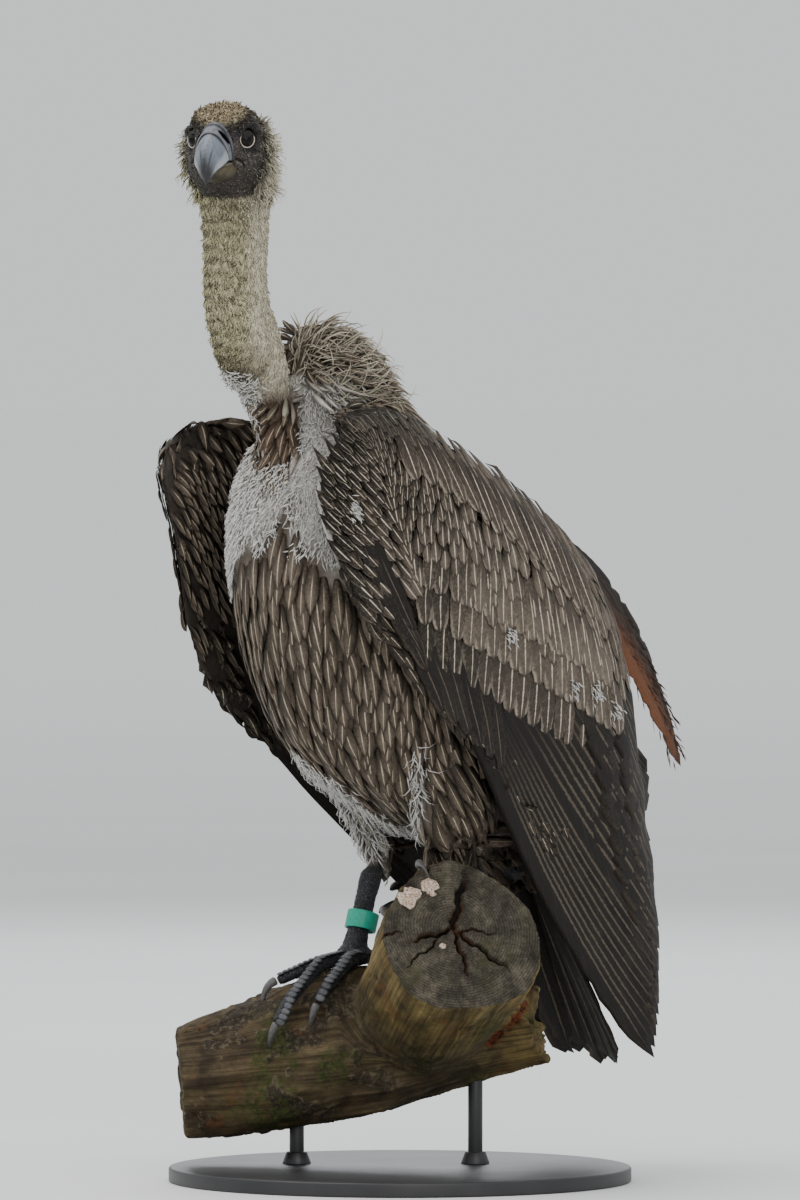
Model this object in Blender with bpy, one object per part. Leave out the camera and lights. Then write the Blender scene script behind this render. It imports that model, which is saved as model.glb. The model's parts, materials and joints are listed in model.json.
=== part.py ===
"""White-backed vulture (Gyps africanus), life size, gripping a cut length of forked branch that a
plain display stand holds up.  Metres, +Z up.  The breast faces -Y and the bird's left is at +X.
The origin is the middle of the stand base's underside, on the floor."""

import math

import bmesh
import bpy
import numpy as np
from mathutils import Matrix, Vector
from mathutils.bvhtree import BVHTree

GAP = 0.0003  # clearance between pieces that touch
SIDES = (("left", 1), ("right", -1))

# Driving sizes of the bird
HEAD_MIDDLE = Vector((0.009, -0.209, 0.849))
HEAD_YAW, HEAD_PITCH = math.radians(30), math.radians(6)  # turned to its left, bill a little down
EYE_RADIUS = 8.0  # millimetres, as all sizes on the head are
WRIST = Vector((0.088, -0.148, 0.589))  # the bend of the left wing
WING_TIP = Vector((0.045, 0.249, 0.080))
SHOULDER_DROP = Vector((0.013, 0, -0.012))  # the right wrist hangs lower and further out
TAIL_ROOT, TAIL_TIP = Vector((0, 0.134, 0.276)), Vector((0, 0.240, 0.088))
TOE_RADIUS, CLAW_RADIUS = 0.0066, 0.0042

# Driving sizes of the perch and the stand
BRANCH_YAW = math.radians(45)  # the way the main branch runs, from the bird's right rear
BRANCH_LINE = Vector((-0.021, 0.021, 0))  # a point of the vertical plane it lies in
STUB_ROOT, STUB_FACE = Vector((-0.010, 0.024, 0.126)), Vector((0.122, -0.052, 0.206))
STUB_RADIUS = 0.067
BASE_RADIUS, BASE_THICKNESS = 0.190, 0.012
ROD_RADIUS = 0.006


def material(name, colour, roughness, metallic=0.0):
    """A plain Principled material, made once for each name."""
    found = bpy.data.materials.get(name)
    if found:
        return found
    made = bpy.data.materials.new(name)
    made.use_nodes = True
    shader = made.node_tree.nodes["Principled BSDF"]
    shader.inputs["Base Color"].default_value = (*colour, 1)
    shader.inputs["Roughness"].default_value = roughness
    shader.inputs["Metallic"].default_value = metallic
    return made


def profile(*knots):
    """A smooth function through (place, value, ...) knots that never overshoots them."""
    place = np.array([k[0] for k in knots], float)
    value = np.array([k[1:] for k in knots], float)
    secant = np.diff(value, axis=0) / np.diff(place)[:, None]
    slope = np.zeros_like(value)
    slope[0], slope[-1] = secant[0], secant[-1]
    before, after = secant[:-1], secant[1:]
    level = before * after <= 0
    slope[1:-1] = np.where(level, 0, 2 * before * after / np.where(level, 1, before + after))

    def at(x):
        x = min(max(x, place[0]), place[-1])
        i = min(int(np.searchsorted(place, x, side="right")) - 1, len(place) - 2)
        span = place[i + 1] - place[i]
        t = (x - place[i]) / span
        found = (
            (2 * t**3 - 3 * t**2 + 1) * value[i]
            + (t**3 - 2 * t**2 + t) * span * slope[i]
            + (3 * t**2 - 2 * t**3) * value[i + 1]
            + (t**3 - t**2) * span * slope[i + 1]
        )
        return float(found[0]) if len(found) == 1 else found

    return at


def rounded(angle, power=2.0):
    """The point at this angle on a superellipse of half sizes 1."""
    c, s = math.cos(angle), math.sin(angle)
    return (
        math.copysign(abs(c) ** (2 / power), c),
        math.copysign(abs(s) ** (2 / power), s),
    )


def turns(count):
    return [2 * math.pi * k / count for k in range(count)]


def solid(name, rings, finish, end=None, leaf=False):
    """One closed body over rings of equal count.  Its ends are closed by a fan on their middles, or
    for a leaf, whose rings run out along one face and back along the other, by a strip between."""
    mesh = bmesh.new()
    loops = [[mesh.verts.new(p) for p in ring] for ring in rings]
    count = len(rings[0])
    for low, high in zip(loops, loops[1:]):
        for k in range(count):
            mesh.faces.new((low[k], low[(k + 1) % count], high[(k + 1) % count], high[k]))
    for loop, ring, tip in ((loops[0], rings[0], None), (loops[-1], rings[-1], end)):
        if leaf:
            for k in range(count // 2 - 1):
                mesh.faces.new((loop[k], loop[k + 1], loop[count - 2 - k], loop[count - 1 - k]))
            continue
        middle = mesh.verts.new(tip or sum(ring, Vector()) / count)
        for k in range(count):
            mesh.faces.new((loop[(k + 1) % count], loop[k], middle))
    bmesh.ops.recalc_face_normals(mesh, faces=mesh.faces)
    data = bpy.data.meshes.new(name)
    mesh.to_mesh(data)
    mesh.free()
    data.materials.append(finish)
    data.shade_smooth()
    data.set_sharp_from_angle(angle=math.radians(50))
    made = bpy.data.objects.new(name, data)
    bpy.context.scene.collection.objects.link(made)
    return made


def grown_copy(piece):
    """A hidden copy of a piece's uncut shape, a little larger all over, to cut others with."""
    by = GAP * 1.6
    name = "cutter_" + piece.name
    if name in bpy.data.objects:
        return bpy.data.objects[name]
    cutter = bpy.data.objects.new(name, piece.data.copy())
    for vertex, normal in zip(cutter.data.vertices, [v.normal.copy() for v in piece.data.vertices]):
        vertex.co += normal * by
    cutter.hide_render = True
    cutter.display_type = "WIRE"
    bpy.context.scene.collection.objects.link(cutter)
    cutter.hide_set(True)
    return cutter


def boolean(piece, other, operation):
    cut = piece.modifiers.new(other.name, "BOOLEAN")
    cut.operation = operation
    cut.solver = "EXACT"
    cut.object = other


def carve(piece, *others):
    """Cuts a piece back from others, so that they meet with a hair's clearance."""
    for other in others:
        boolean(piece, grown_copy(other), "DIFFERENCE")


def fuse(piece, *others):
    """Joins others into a piece for good, as one body."""
    for other in others:
        boolean(piece, other, "UNION")
    graph = bpy.context.evaluated_depsgraph_get()
    joined = bpy.data.meshes.new_from_object(piece.evaluated_get(graph))
    piece.modifiers.clear()
    piece.data = joined
    for other in others:
        bpy.data.objects.remove(other)
    return piece


def tube(name, points, sizes, finish, count, up):
    """A body along points; sizes gives each point's (half width, half height)."""
    rings = []
    for k, (point, (wide, high)) in enumerate(zip(points, sizes)):
        ahead = (points[min(k + 1, len(points) - 1)] - points[max(k - 1, 0)]).normalized()
        side = ahead.cross(up).normalized()
        over = side.cross(ahead)
        rings.append(
            [point + side * (wide * math.cos(a)) + over * (high * math.sin(a)) for a in turns(count)]
        )
    return solid(name, rings, finish)


# ---------------------------------------------------------------- stand and perch


def build_base():
    """A flat round plate with a softened upper edge."""
    finish = material("stand_steel", (0.05, 0.05, 0.055), 0.45, 0.9)
    edge = 0.0015
    heights = ((0, BASE_RADIUS), (BASE_THICKNESS - edge, BASE_RADIUS), (BASE_THICKNESS, BASE_RADIUS - edge))
    rings = [[Vector((r * math.cos(a), r * math.sin(a), z)) for a in turns(32)] for z, r in heights]
    return solid("stand_base", rings, finish)


BRANCH = profile(  # metres along the branch: height of its axis, radius
    (-0.180, 0.078, 0.047),
    (-0.148, 0.083, 0.051),
    (-0.104, 0.093, 0.056),
    (-0.038, 0.114, 0.062),
    (0.020, 0.121, 0.054),
    (0.084, 0.122, 0.037),
    (0.122, 0.126, 0.030),
)


def branch_point(place):
    along = Vector((math.cos(BRANCH_YAW), math.sin(BRANCH_YAW), 0))
    return BRANCH_LINE + along * place + Vector((0, 0, BRANCH(place)[0]))


def bark_ring(middle, ahead, radius, phase):
    """An uneven round section of wood, square to the way ahead."""
    side = ahead.cross(Vector((0, 0, 1))).normalized()
    over = side.cross(ahead)
    ring = []
    for a in turns(16):
        r = radius * (1 + 0.045 * math.sin(3 * a + phase) + 0.03 * math.sin(5 * a - 1.7 * phase))
        ring.append(middle + side * (r * math.cos(a)) + over * (r * math.sin(a)))
    return ring


def build_perch():
    """The forked branch: a cut main length that breaks off at its thin end, and a sawn stub that
    rises towards the bird's left front."""
    finish = material("weathered_wood", (0.16, 0.13, 0.09), 0.85)
    places = np.linspace(-0.180, 0.110, 12)
    rings = []
    for place in places:
        ahead = (branch_point(place + 0.001) - branch_point(place - 0.001)).normalized()
        rings.append(bark_ring(branch_point(place), ahead, BRANCH(place)[1], place * 26))
    splinters = [Vector((0.007, 0.007, 0)) * math.sin(5 * k) for k in range(len(rings[-1]))]
    rings[-1] = [point + splinter for point, splinter in zip(rings[-1], splinters)]
    branch = solid("perch_branch", rings, finish)
    out = (STUB_FACE - STUB_ROOT).normalized()
    rings = []
    for share in np.linspace(0, 1, 7):
        radius = STUB_RADIUS * (0.80 + 0.20 * share)
        rings.append(bark_ring(STUB_ROOT.lerp(STUB_FACE, share), out, radius, 2 + share * 1.5))
    return fuse(branch, solid("perch_stub", rings, finish))


def build_rods(perch):
    """Two short steel rods from the base up to the branch's underside."""
    finish = material("stand_steel", (0.05, 0.05, 0.055), 0.45, 0.9)
    for number, place in enumerate((-0.085, 0.062), 1):
        top = branch_point(place)
        spokes = [Vector((math.cos(a), math.sin(a), 0)) * ROD_RADIUS for a in turns(14)]
        low, high = Vector((top.x, top.y, BASE_THICKNESS + GAP)), top
        rings = [[end + spoke for spoke in spokes] for end in (low, high)]
        carve(solid(f"stand_rod_{number}", rings, finish), perch)


# ---------------------------------------------------------------- trunk, neck and ruff

TRUNK = profile(  # height: front, back, half width
    (0.236, 0.112, 0.150, 0.026),
    (0.264, 0.055, 0.160, 0.046),
    (0.289, 0.000, 0.163, 0.060),
    (0.314, -0.055, 0.162, 0.072),
    (0.357, -0.112, 0.156, 0.087),
    (0.397, -0.138, 0.147, 0.096),
    (0.453, -0.160, 0.129, 0.101),
    (0.525, -0.172, 0.092, 0.098),
    (0.565, -0.168, 0.062, 0.089),
    (0.594, -0.158, 0.030, 0.076),
    (0.620, -0.140, -0.005, 0.055),
    (0.636, -0.120, -0.030, 0.036),
)
NECK = profile(  # share of the way up: y, z, half width, half depth
    (0.00, -0.128, 0.589, 0.030, 0.030),
    (0.12, -0.139, 0.620, 0.023, 0.024),
    (0.25, -0.154, 0.650, 0.025, 0.026),
    (0.40, -0.176, 0.690, 0.029, 0.030),
    (0.58, -0.188, 0.734, 0.027, 0.028),
    (0.80, -0.187, 0.795, 0.028, 0.029),
    (1.00, -0.188, 0.850, 0.029, 0.029),
)


def build_trunk():
    """Breast, belly and back, as level sections from the tail root up to the neck."""
    finish = material("brown_feathers", (0.20, 0.15, 0.11), 0.8)
    rings = []
    for z in np.linspace(0.236, 0.636, 14):
        front, back, half = TRUNK(z)
        middle, reach = (front + back) / 2, (back - front) / 2
        ring = []
        for a in turns(24):
            c, s = rounded(a, 2.15)
            ring.append(Vector((half * c, middle + reach * s, z)))
        rings.append(ring)
    return solid("trunk", rings, finish)


def neck_piece(name, low, high, finish):
    rings = []
    for t in np.linspace(low, high, max(3, round((high - low) * 18))):
        y, z, half, deep = NECK(t)
        y2, z2, _, _ = NECK(min(t + 0.01, 1))
        y1, z1, _, _ = NECK(max(t - 0.01, 0))
        up = Vector((0, y2 - y1, z2 - z1)).normalized()
        back = up.cross(Vector((-1, 0, 0)))
        middle, side = Vector((0, y, z)), Vector((half, 0, 0))
        rings.append([middle + side * math.cos(a) + back * (deep * math.sin(a)) for a in turns(16)])
    return solid(name, rings, finish)


def build_neck(trunk):
    """The long neck in two lengths, parted at its bend."""
    finish = material("neck_down", (0.55, 0.50, 0.36), 0.9)
    part = 0.45
    lower = neck_piece("neck_lower", 0.0, part - 0.0008, finish)
    upper = neck_piece("neck_upper", part + 0.0008, 0.985, finish)
    carve(lower, trunk)
    return lower, upper


RUFF = profile(  # height: middle, half width, half depth
    (0.590, -0.022, 0.060, 0.084),
    (0.615, -0.048, 0.062, 0.074),
    (0.640, -0.071, 0.062, 0.058),
    (0.655, -0.078, 0.058, 0.052),
    (0.675, -0.085, 0.050, 0.044),
    (0.694, -0.094, 0.036, 0.031),
    (0.708, -0.099, 0.019, 0.016),
)


def build_ruff(trunk, lower, upper):
    """The collar of long feathers behind the root of the neck, running down into the mantle."""
    finish = material("ruff_feathers", (0.48, 0.40, 0.30), 0.9)
    rings = []
    for z in np.linspace(0.590, 0.708, 9):
        middle, half, reach = RUFF(z)
        rings.append([Vector((half * math.cos(a), middle + reach * math.sin(a), z)) for a in turns(18)])
    ruff = solid("ruff", rings, finish, end=Vector((0, RUFF(0.708)[0], 0.712)))
    carve(ruff, lower, upper, trunk)
    return ruff


# ---------------------------------------------------------------- head


def head_point(ahead, left, up):
    """A place on the head, given ahead of, left of and above its middle, in millimetres."""
    turn = Matrix.Rotation(HEAD_YAW, 3, "Z") @ Matrix.Rotation(HEAD_PITCH, 3, "X")
    return HEAD_MIDDLE + turn @ (Vector((left, -ahead, up)) * 0.001)


def head_rings(table, places, count, power):
    """Rings square to the head's length, from a profile of half width, top and bottom."""
    rings = []
    for ahead in places:
        half, top, bottom = table(ahead)
        middle, reach = (top + bottom) / 2, (top - bottom) / 2
        rings.append(
            [
                head_point(ahead, half * c, middle + reach * s)
                for c, s in (rounded(a, power) for a in turns(count))
            ]
        )
    return rings


SKULL = profile(  # millimetres ahead of the middle: half width, top, bottom
    (-46, 10, 10, -10),
    (-42, 18, 18, -20),
    (-30, 27, 26, -34),
    (-15, 31.5, 30, -44),
    (0, 33, 31.5, -46),
    (8, 31.5, 31, -42),
    (15, 28, 29, -36),
    (22, 23, 23.5, -32),
    (30, 16.5, 17, -27),
)
CERE = profile((26, 13.6, 18.5, -8), (33, 13.6, 17.5, -8), (41, 12.4, 14.5, -8))
LOWER_BILL = profile((16, 17, -8, -24), (26, 16, -8.5, -24), (36, 12.5, -9.5, -22.5), (49, 5, -13, -18.5))
BILL_PATH = profile(  # share of the way to the tip: ahead, up, half width, half height
    (0.00, 35, 3.0, 11.4, 12.0),
    (0.22, 43, 2.0, 11.0, 12.0),
    (0.45, 50.5, -1.5, 9.8, 10.4),
    (0.68, 56.5, -7.5, 7.4, 7.4),
    (0.88, 59, -15.0, 4.2, 4.4),
    (1.00, 59.3, -20.0, 1.2, 1.3),
)


def ball(name, middle, radius, finish, sides, bands):
    """A ball on the head, its middle given as head_point takes it."""
    ahead, left, up = middle
    rings = []
    for polar in np.linspace(0.35, math.pi - 0.35, bands):
        r, h = radius * math.sin(polar), -radius * math.cos(polar)
        spokes = [(r * math.cos(a), r * math.sin(a)) for a in turns(sides)]
        rings.append([head_point(ahead + forward, left + aside, up + h) for forward, aside in spokes])
    return solid(name, rings, finish)


def build_head(upper_neck):
    """Skull and face as one body, cut for the eyes, the cere and both halves of the bill."""
    skin = material("face_skin", (0.10, 0.085, 0.075), 0.6)
    horn = material("bill_horn", (0.20, 0.23, 0.27), 0.3)
    soft = material("cere_skin", (0.12, 0.125, 0.14), 0.45)
    wet = material("eye", (0.02, 0.014, 0.01), 0.05)
    bill_rings = []
    for t in np.linspace(0, 1, 9):
        ahead, up, half, high = BILL_PATH(t)
        ahead2, up2, _, _ = BILL_PATH(min(t + 0.02, 1))
        ahead1, up1, _, _ = BILL_PATH(max(t - 0.02, 0))
        length = math.hypot(ahead2 - ahead1, up2 - up1)
        over = (-(up2 - up1) / length, (ahead2 - ahead1) / length)
        bill_rings.append(
            [
                head_point(ahead + over[0] * high * s, half * c, up + over[1] * high * s)
                for c, s in (rounded(a, 2.3) for a in turns(14))
            ]
        )
    bill = solid("bill_upper", bill_rings, horn, end=head_point(58.8, 0, -21.8))
    cere = solid("cere", head_rings(CERE, (26, 33, 38, 41), 16, 2.3), soft)
    lower = solid("bill_lower", head_rings(LOWER_BILL, np.linspace(16, 50, 6), 12, 2.4), horn)
    eyes, sockets = [], []
    for name, side in SIDES:
        eyes.append(ball(f"eye_{name}", (10.6, side * 19.6, 6.5), EYE_RADIUS, wet, 11, 6))
        sockets.append(ball(f"socket_{name}", (13.5, side * 24.5, 6.0), EYE_RADIUS * 1.15, skin, 9, 5))
    head = solid("head", head_rings(SKULL, (-46, -42, -32, -20, -7, 5, 13, 21, 30), 18, 2.4), skin)
    carve(cere, bill)
    carve(lower, bill, cere)
    carve(head, *eyes, *sockets, cere, bill, lower)
    for socket in sockets:
        bpy.data.objects.remove(socket)
    carve(upper_neck, head)
    return head


# ---------------------------------------------------------------- wings and tail

WING = profile(  # mm from the wrist: front edge, back edge, out at front, middle, back, inner
    (-36, 2, 20, 96, 106, 92, 74),
    (-22, -28, 52, 88, 116, 96, 64),
    (10, -46, 80, 80, 124, 94, 50),
    (40, -56, 97, 84, 128, 92, 40),
    (87, -70, 124, 97, 133, 90, 30),
    (130, -73, 143, 110, 136, 88, 22),
    (183, -69, 162, 119, 138, 86, 17),
    (227, -56, 174, 121, 138, 85, 14),
    (290, -38, 170, 112, 133, 82, 12),
    (342, -27, 156, 100, 124, 78, 12),
    (400, -20, 132, 86, 110, 70, 13),
    (460, -13, 112, 74, 94, 62, 15),
    (528, -6, 91, 62, 77, 52, 18),
    (594, 0, 56, 52, 62, 45, 27),
    (642, 4, 14, 44, 48, 42, 36),
)
WING_THICKNESS = profile((-36, 20), (-10, 44), (60, 40), (160, 26), (300, 15), (450, 9), (642, 4))
WING_PART = 400  # where the coverts end and the flight feathers run on alone


def wing_axes():
    """Unit vectors down the folded wing and square to it, both in the wing's own plane."""
    down = Vector((0, WING_TIP.y - WRIST.y, WING_TIP.z - WRIST.z)).normalized()
    return down, Vector((0, -down.z, down.y))


def wing_ring(place, side, notch=0.0):
    """One section: its outer face from front edge to inner edge, and back along its inner face."""
    front, back, x_front, x_middle, x_back, x_inner = WING(place)
    back += notch
    across = profile(
        (0, front, x_front),
        (0.42, front * 0.45 + back * 0.55, x_middle),
        (0.8, back, x_back),
        (1, back + 9, x_inner),
    )
    fine = [across(q) for q in np.linspace(0, 1, 9)]
    thick = WING_THICKNESS(place)
    outer, inner = [], []
    for k, (t, x) in enumerate(fine):
        before, after = fine[max(k - 1, 0)], fine[min(k + 1, len(fine) - 1)]
        run, rise = after[0] - before[0], after[1] - before[1]
        length = math.hypot(run, rise)
        share = k / (len(fine) - 1)
        depth = 0.5 + thick * math.sin(math.pi * min(max(share, 0.03), 0.97)) ** 0.6
        outer.append((t, x))
        inner.append((t + rise / length * depth, x - run / length * depth))
    down, square = wing_axes()
    start = Vector((0, WRIST.y, WRIST.z))
    if side < 0:
        start += Vector((-SHOULDER_DROP.x, 0, SHOULDER_DROP.z)) * (1 - min(max(place, 0) / 420, 1)) ** 0.8
    return [
        start + down * (place * 0.001) + square * (t * 0.001) + Vector((side * x * 0.001, 0, 0))
        for t, x in outer + inner[::-1]
    ]


def build_wings():
    """Each folded wing in two pieces: the arm under its coverts, and the flight feathers below."""
    finish = material("wing_coverts", (0.24, 0.19, 0.15), 0.75)
    dark = material("flight_feathers", (0.03, 0.025, 0.022), 0.6)
    pieces = []
    for name, side in SIDES:
        arm_places = [-36, -31, -20, -2, 25, 60, 100, 145, 190, 240, 290, 345, WING_PART - 0.2]
        arm = solid(f"wing_{name}_arm", [wing_ring(p, side) for p in arm_places], finish, leaf=True)
        fuse(arm, tertial_blade(side, finish))
        hand = []
        for k, place in enumerate(np.linspace(WING_PART + 0.2, 642, 9)):
            hand.append(wing_ring(place, side, notch=2.5 if k % 2 else -2.5))
        pieces += [arm, solid(f"wing_{name}_flight", hand, dark, leaf=True)]
    return pieces


def tertial_blade(side, finish):
    """The innermost feathers, as one thin blade whose loose tip stands out behind the wing."""
    away = Vector((0, 0.86, 0.5))
    rings = []
    for share in np.linspace(0, 1, 7):
        y, z = 0.116 + 0.160 * share - 0.02 * share**2, 0.530 - 0.110 * share - 0.072 * share**2
        x = side * (0.052 + 0.012 * share)
        half = 0.022 * math.sin(math.pi * min(0.97, 0.12 + 0.72 * share)) ** 0.7
        thick = 0.0022 - 0.0012 * share
        rings.append(
            [Vector((x + thick * math.sin(a), y, z)) + away * (half * math.cos(a)) for a in turns(10)]
        )
    return solid(f"tertials_{side}", rings, finish)


def build_tail():
    """The closed tail: feathers stacked into a shallow arch, with worn, stepped tips."""
    finish = material("tail_feathers", (0.02, 0.018, 0.017), 0.6)
    feathers = 8
    down = (TAIL_TIP - TAIL_ROOT).normalized()
    back = Vector((0, -down.z, down.y))
    length = (TAIL_TIP - TAIL_ROOT).length
    rings = []
    for t in np.linspace(0, 1, 6):
        half = 0.024 + 0.018 * t**0.8
        thick = 0.007 - 0.005 * t
        arch = 0.008 + 0.010 * t
        outer, inner = [], []
        for k in range(2 * feathers + 1):
            share = k / feathers - 1
            worn = (0.010 * (k % 2) + 0.016 * share * share) * t**4
            edge = math.sqrt(max(0.04, 1 - share**4))
            point = TAIL_ROOT + down * (length * t - worn) + Vector((half * share, 0, 0))
            point -= back * (arch * share * share)
            outer.append(point + back * (thick * 0.5 * edge))
            inner.append(point - back * (thick * 0.5 * edge))
        rings.append(outer + inner[::-1])
    return solid("tail", rings, finish, leaf=True)


# ---------------------------------------------------------------- legs, toes and claws

LEGS = {
    "left": dict(
        hip=Vector((0.052, 0.020, 0.359)),
        hem=Vector((0.051, 0.012, 0.268)),  # where the thigh's feathers end
        ankle=Vector((0.040, 0.000, 0.292)),
        grip=Vector((0.022, 0.006, 0.222)),  # near where the foot holds the branch
        turned=38,  # degrees that the foot is turned out
        reach=0.76,  # its toes are drawn in to this share
        top=(0.036, 0.062),  # the thigh's half width and depth at the hip, and at the hem
        low=(0.028, 0.040),
    ),
    "right": dict(
        hip=Vector((-0.050, 0.002, 0.359)),
        hem=Vector((-0.052, 0.026, 0.260)),
        ankle=Vector((-0.052, 0.026, 0.272)),
        grip=Vector((-0.050, -0.004, 0.180)),
        turned=0,
        reach=1.0,
        top=(0.034, 0.048),
        low=(0.015, 0.020),
    ),
}
TOES = {  # heading off straight ahead in degrees, towards the body's middle; start off the foot's
    # middle, likewise; length; claw length
    "inner": (13, 0.010, 0.070, 0.032),
    "middle": (0, 0.000, 0.104, 0.034),
    "outer": (-29, -0.009, 0.060, 0.032),
    "hind": (176, 0.002, 0.036, 0.034),
}


def build_thighs(trunk, wings):
    """The feathered legs down to the ankle, hung with loose feather trousers."""
    finish = material("thigh_feathers", (0.30, 0.25, 0.20), 0.85)
    thighs = {}
    for name, _ in SIDES:
        leg = LEGS[name]
        rings = []
        for share in np.linspace(0, 1, 6):
            ease = share * share * (3 - 2 * share)
            wide = leg["top"][0] * (1 - ease) + leg["low"][0] * ease
            deep = leg["top"][1] * (1 - ease) + leg["low"][1] * ease
            if share == 1:
                wide, deep = wide * 0.75, deep * 0.75
            middle = leg["hip"].lerp(leg["hem"], share)
            rings.append([middle + Vector((wide * math.cos(a), deep * math.sin(a), 0)) for a in turns(14)])
        thighs[name] = solid(f"thigh_{name}", rings, finish)
        carve(thighs[name], trunk, *wings)
    return thighs


def walk(surface, start, heading, length, lift, steps):
    """Points that creep over a surface from start along a heading, each lift above it."""
    point, normal, _, _ = surface.find_nearest(start)
    path = [point + normal * lift]
    for _ in range(steps):
        level = (heading - normal * heading.dot(normal)).normalized()
        point, found, _, _ = surface.find_nearest(point + level * (length / steps))
        normal = (normal * 0.5 + found * 0.5).normalized()
        heading = level
        path.append(point + normal * lift)
    return path, normal


def build_claw(name, root, heading, normal, length):
    """A curved tapering claw that leaves the toe's end along heading and bends down."""
    finish = material("claw_horn", (0.05, 0.05, 0.055), 0.35)
    axis = heading.cross(normal).normalized()
    steps, curl = 5, math.radians(105)
    direction = Matrix.Rotation(curl * 0.15, 3, axis) @ heading
    points, sizes = [root], [(CLAW_RADIUS, CLAW_RADIUS * 1.15)]
    for k in range(steps):
        direction = Matrix.Rotation(-curl / steps, 3, axis) @ direction
        points.append(points[-1] + direction * (length / steps))
        radius = max(0.0006, CLAW_RADIUS * (1 - (k + 1) / steps) ** 0.8)
        sizes.append((radius, radius * 1.15))
    return tube(name, points, sizes, finish, 6, normal)


def build_legs(perch, trunk, thighs):
    """Each scaled leg below its feathers, shank and toes in one, with a claw on each toe."""
    scales = material("leg_scales", (0.09, 0.09, 0.10), 0.55)
    bark = BVHTree.FromObject(perch, bpy.context.evaluated_depsgraph_get())
    level = Vector((0, -1, 0))
    for name, side in SIDES:
        plan = LEGS[name]
        turned = math.radians(plan["turned"])
        ground, up, _, _ = bark.find_nearest(plan["grip"])
        pad = ground + up * 0.0105
        sizes = [(0.0105, 0.0115), (0.0090, 0.0102), (0.0084, 0.0092), (0.0088, 0.0094), (0.0115, 0.0105)]
        points = [plan["ankle"].lerp(pad, share) for share in np.linspace(0, 1, len(sizes))]
        leg = tube(f"leg_{name}", points, sizes, scales, 10, level)
        carve(thighs[name], leg)
        knob = [pad + up * h for h in (-0.0085, -0.004, 0.004, 0.0085)]
        joined = [tube("pad", knob, [(r, r) for r in (0.010, 0.0155, 0.0145, 0.008)], scales, 10, level)]
        for toe, (angle, offset, length, claw_length) in TOES.items():
            turn = (turned - math.radians(angle)) * side
            heading = Vector((math.sin(turn), -math.cos(turn), 0))
            aside = Matrix.Rotation(turned * side, 3, "Z") @ Vector((-side * offset, 0, 0))
            lift = TOE_RADIUS * 1.12 + 2 * GAP
            path, normal = walk(bark, ground + aside, heading, length * plan["reach"], lift, 6)
            fat = [TOE_RADIUS * (1.12 - 0.3 * share) for share in np.linspace(0, 1, len(path))]
            joined.append(tube(f"toe_{name}_{toe}", path, [(r, r * 0.95) for r in fat], scales, 6, normal))
            ahead = (path[-1] - path[-2]).normalized()
            root = path[-1] + ahead * 0.0012 + normal * 0.001
            claw = build_claw(f"claw_{name}_{toe}", root, ahead, normal, claw_length)
            carve(claw, perch, joined[-1])
        fuse(leg, *joined)
        carve(leg, perch, trunk)


def build_ring():
    """The plain plastic ring round the right shank, just above the toes."""
    finish = material("leg_ring", (0.0, 0.45, 0.32), 0.4)
    top, low = LEGS["right"]["ankle"], LEGS["right"]["grip"]
    along = (low - top).normalized()
    side = along.cross(Vector((0, 1, 0))).normalized()
    over = side.cross(along)
    middle = top.lerp(low, 0.66)
    inside, outside, half = 0.0112, 0.0132, 0.0075
    section = ((inside, -half), (outside, -half), (outside, half), (inside, half))
    mesh = bmesh.new()
    loops = []
    for a in turns(18):
        spoke = side * math.cos(a) + over * math.sin(a)
        loops.append([mesh.verts.new(middle + spoke * r + along * h) for r, h in section])
    for k, loop in enumerate(loops):
        after = loops[(k + 1) % len(loops)]
        for j in range(4):
            mesh.faces.new((loop[j], loop[(j + 1) % 4], after[(j + 1) % 4], after[j]))
    bmesh.ops.recalc_face_normals(mesh, faces=mesh.faces)
    data = bpy.data.meshes.new("leg_ring")
    mesh.to_mesh(data)
    mesh.free()
    data.materials.append(finish)
    ring = bpy.data.objects.new("leg_ring", data)
    bpy.context.scene.collection.objects.link(ring)


def main():
    for thing in list(bpy.data.objects):
        bpy.data.objects.remove(thing)
    build_base()
    perch = build_perch()
    build_rods(perch)
    trunk = build_trunk()
    lower, upper = build_neck(trunk)
    ruff = build_ruff(trunk, lower, upper)
    build_head(upper)
    wings = build_wings()
    tail = build_tail()
    carve(trunk, *wings, tail)
    carve(ruff, *wings)
    carve(tail, *wings)
    thighs = build_thighs(trunk, wings)
    build_legs(perch, trunk, thighs)
    build_ring()


main()
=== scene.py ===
import json
import math

import bpy
import numpy as np
from mathutils import Matrix, Vector
from mathutils.bvhtree import BVHTree

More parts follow.
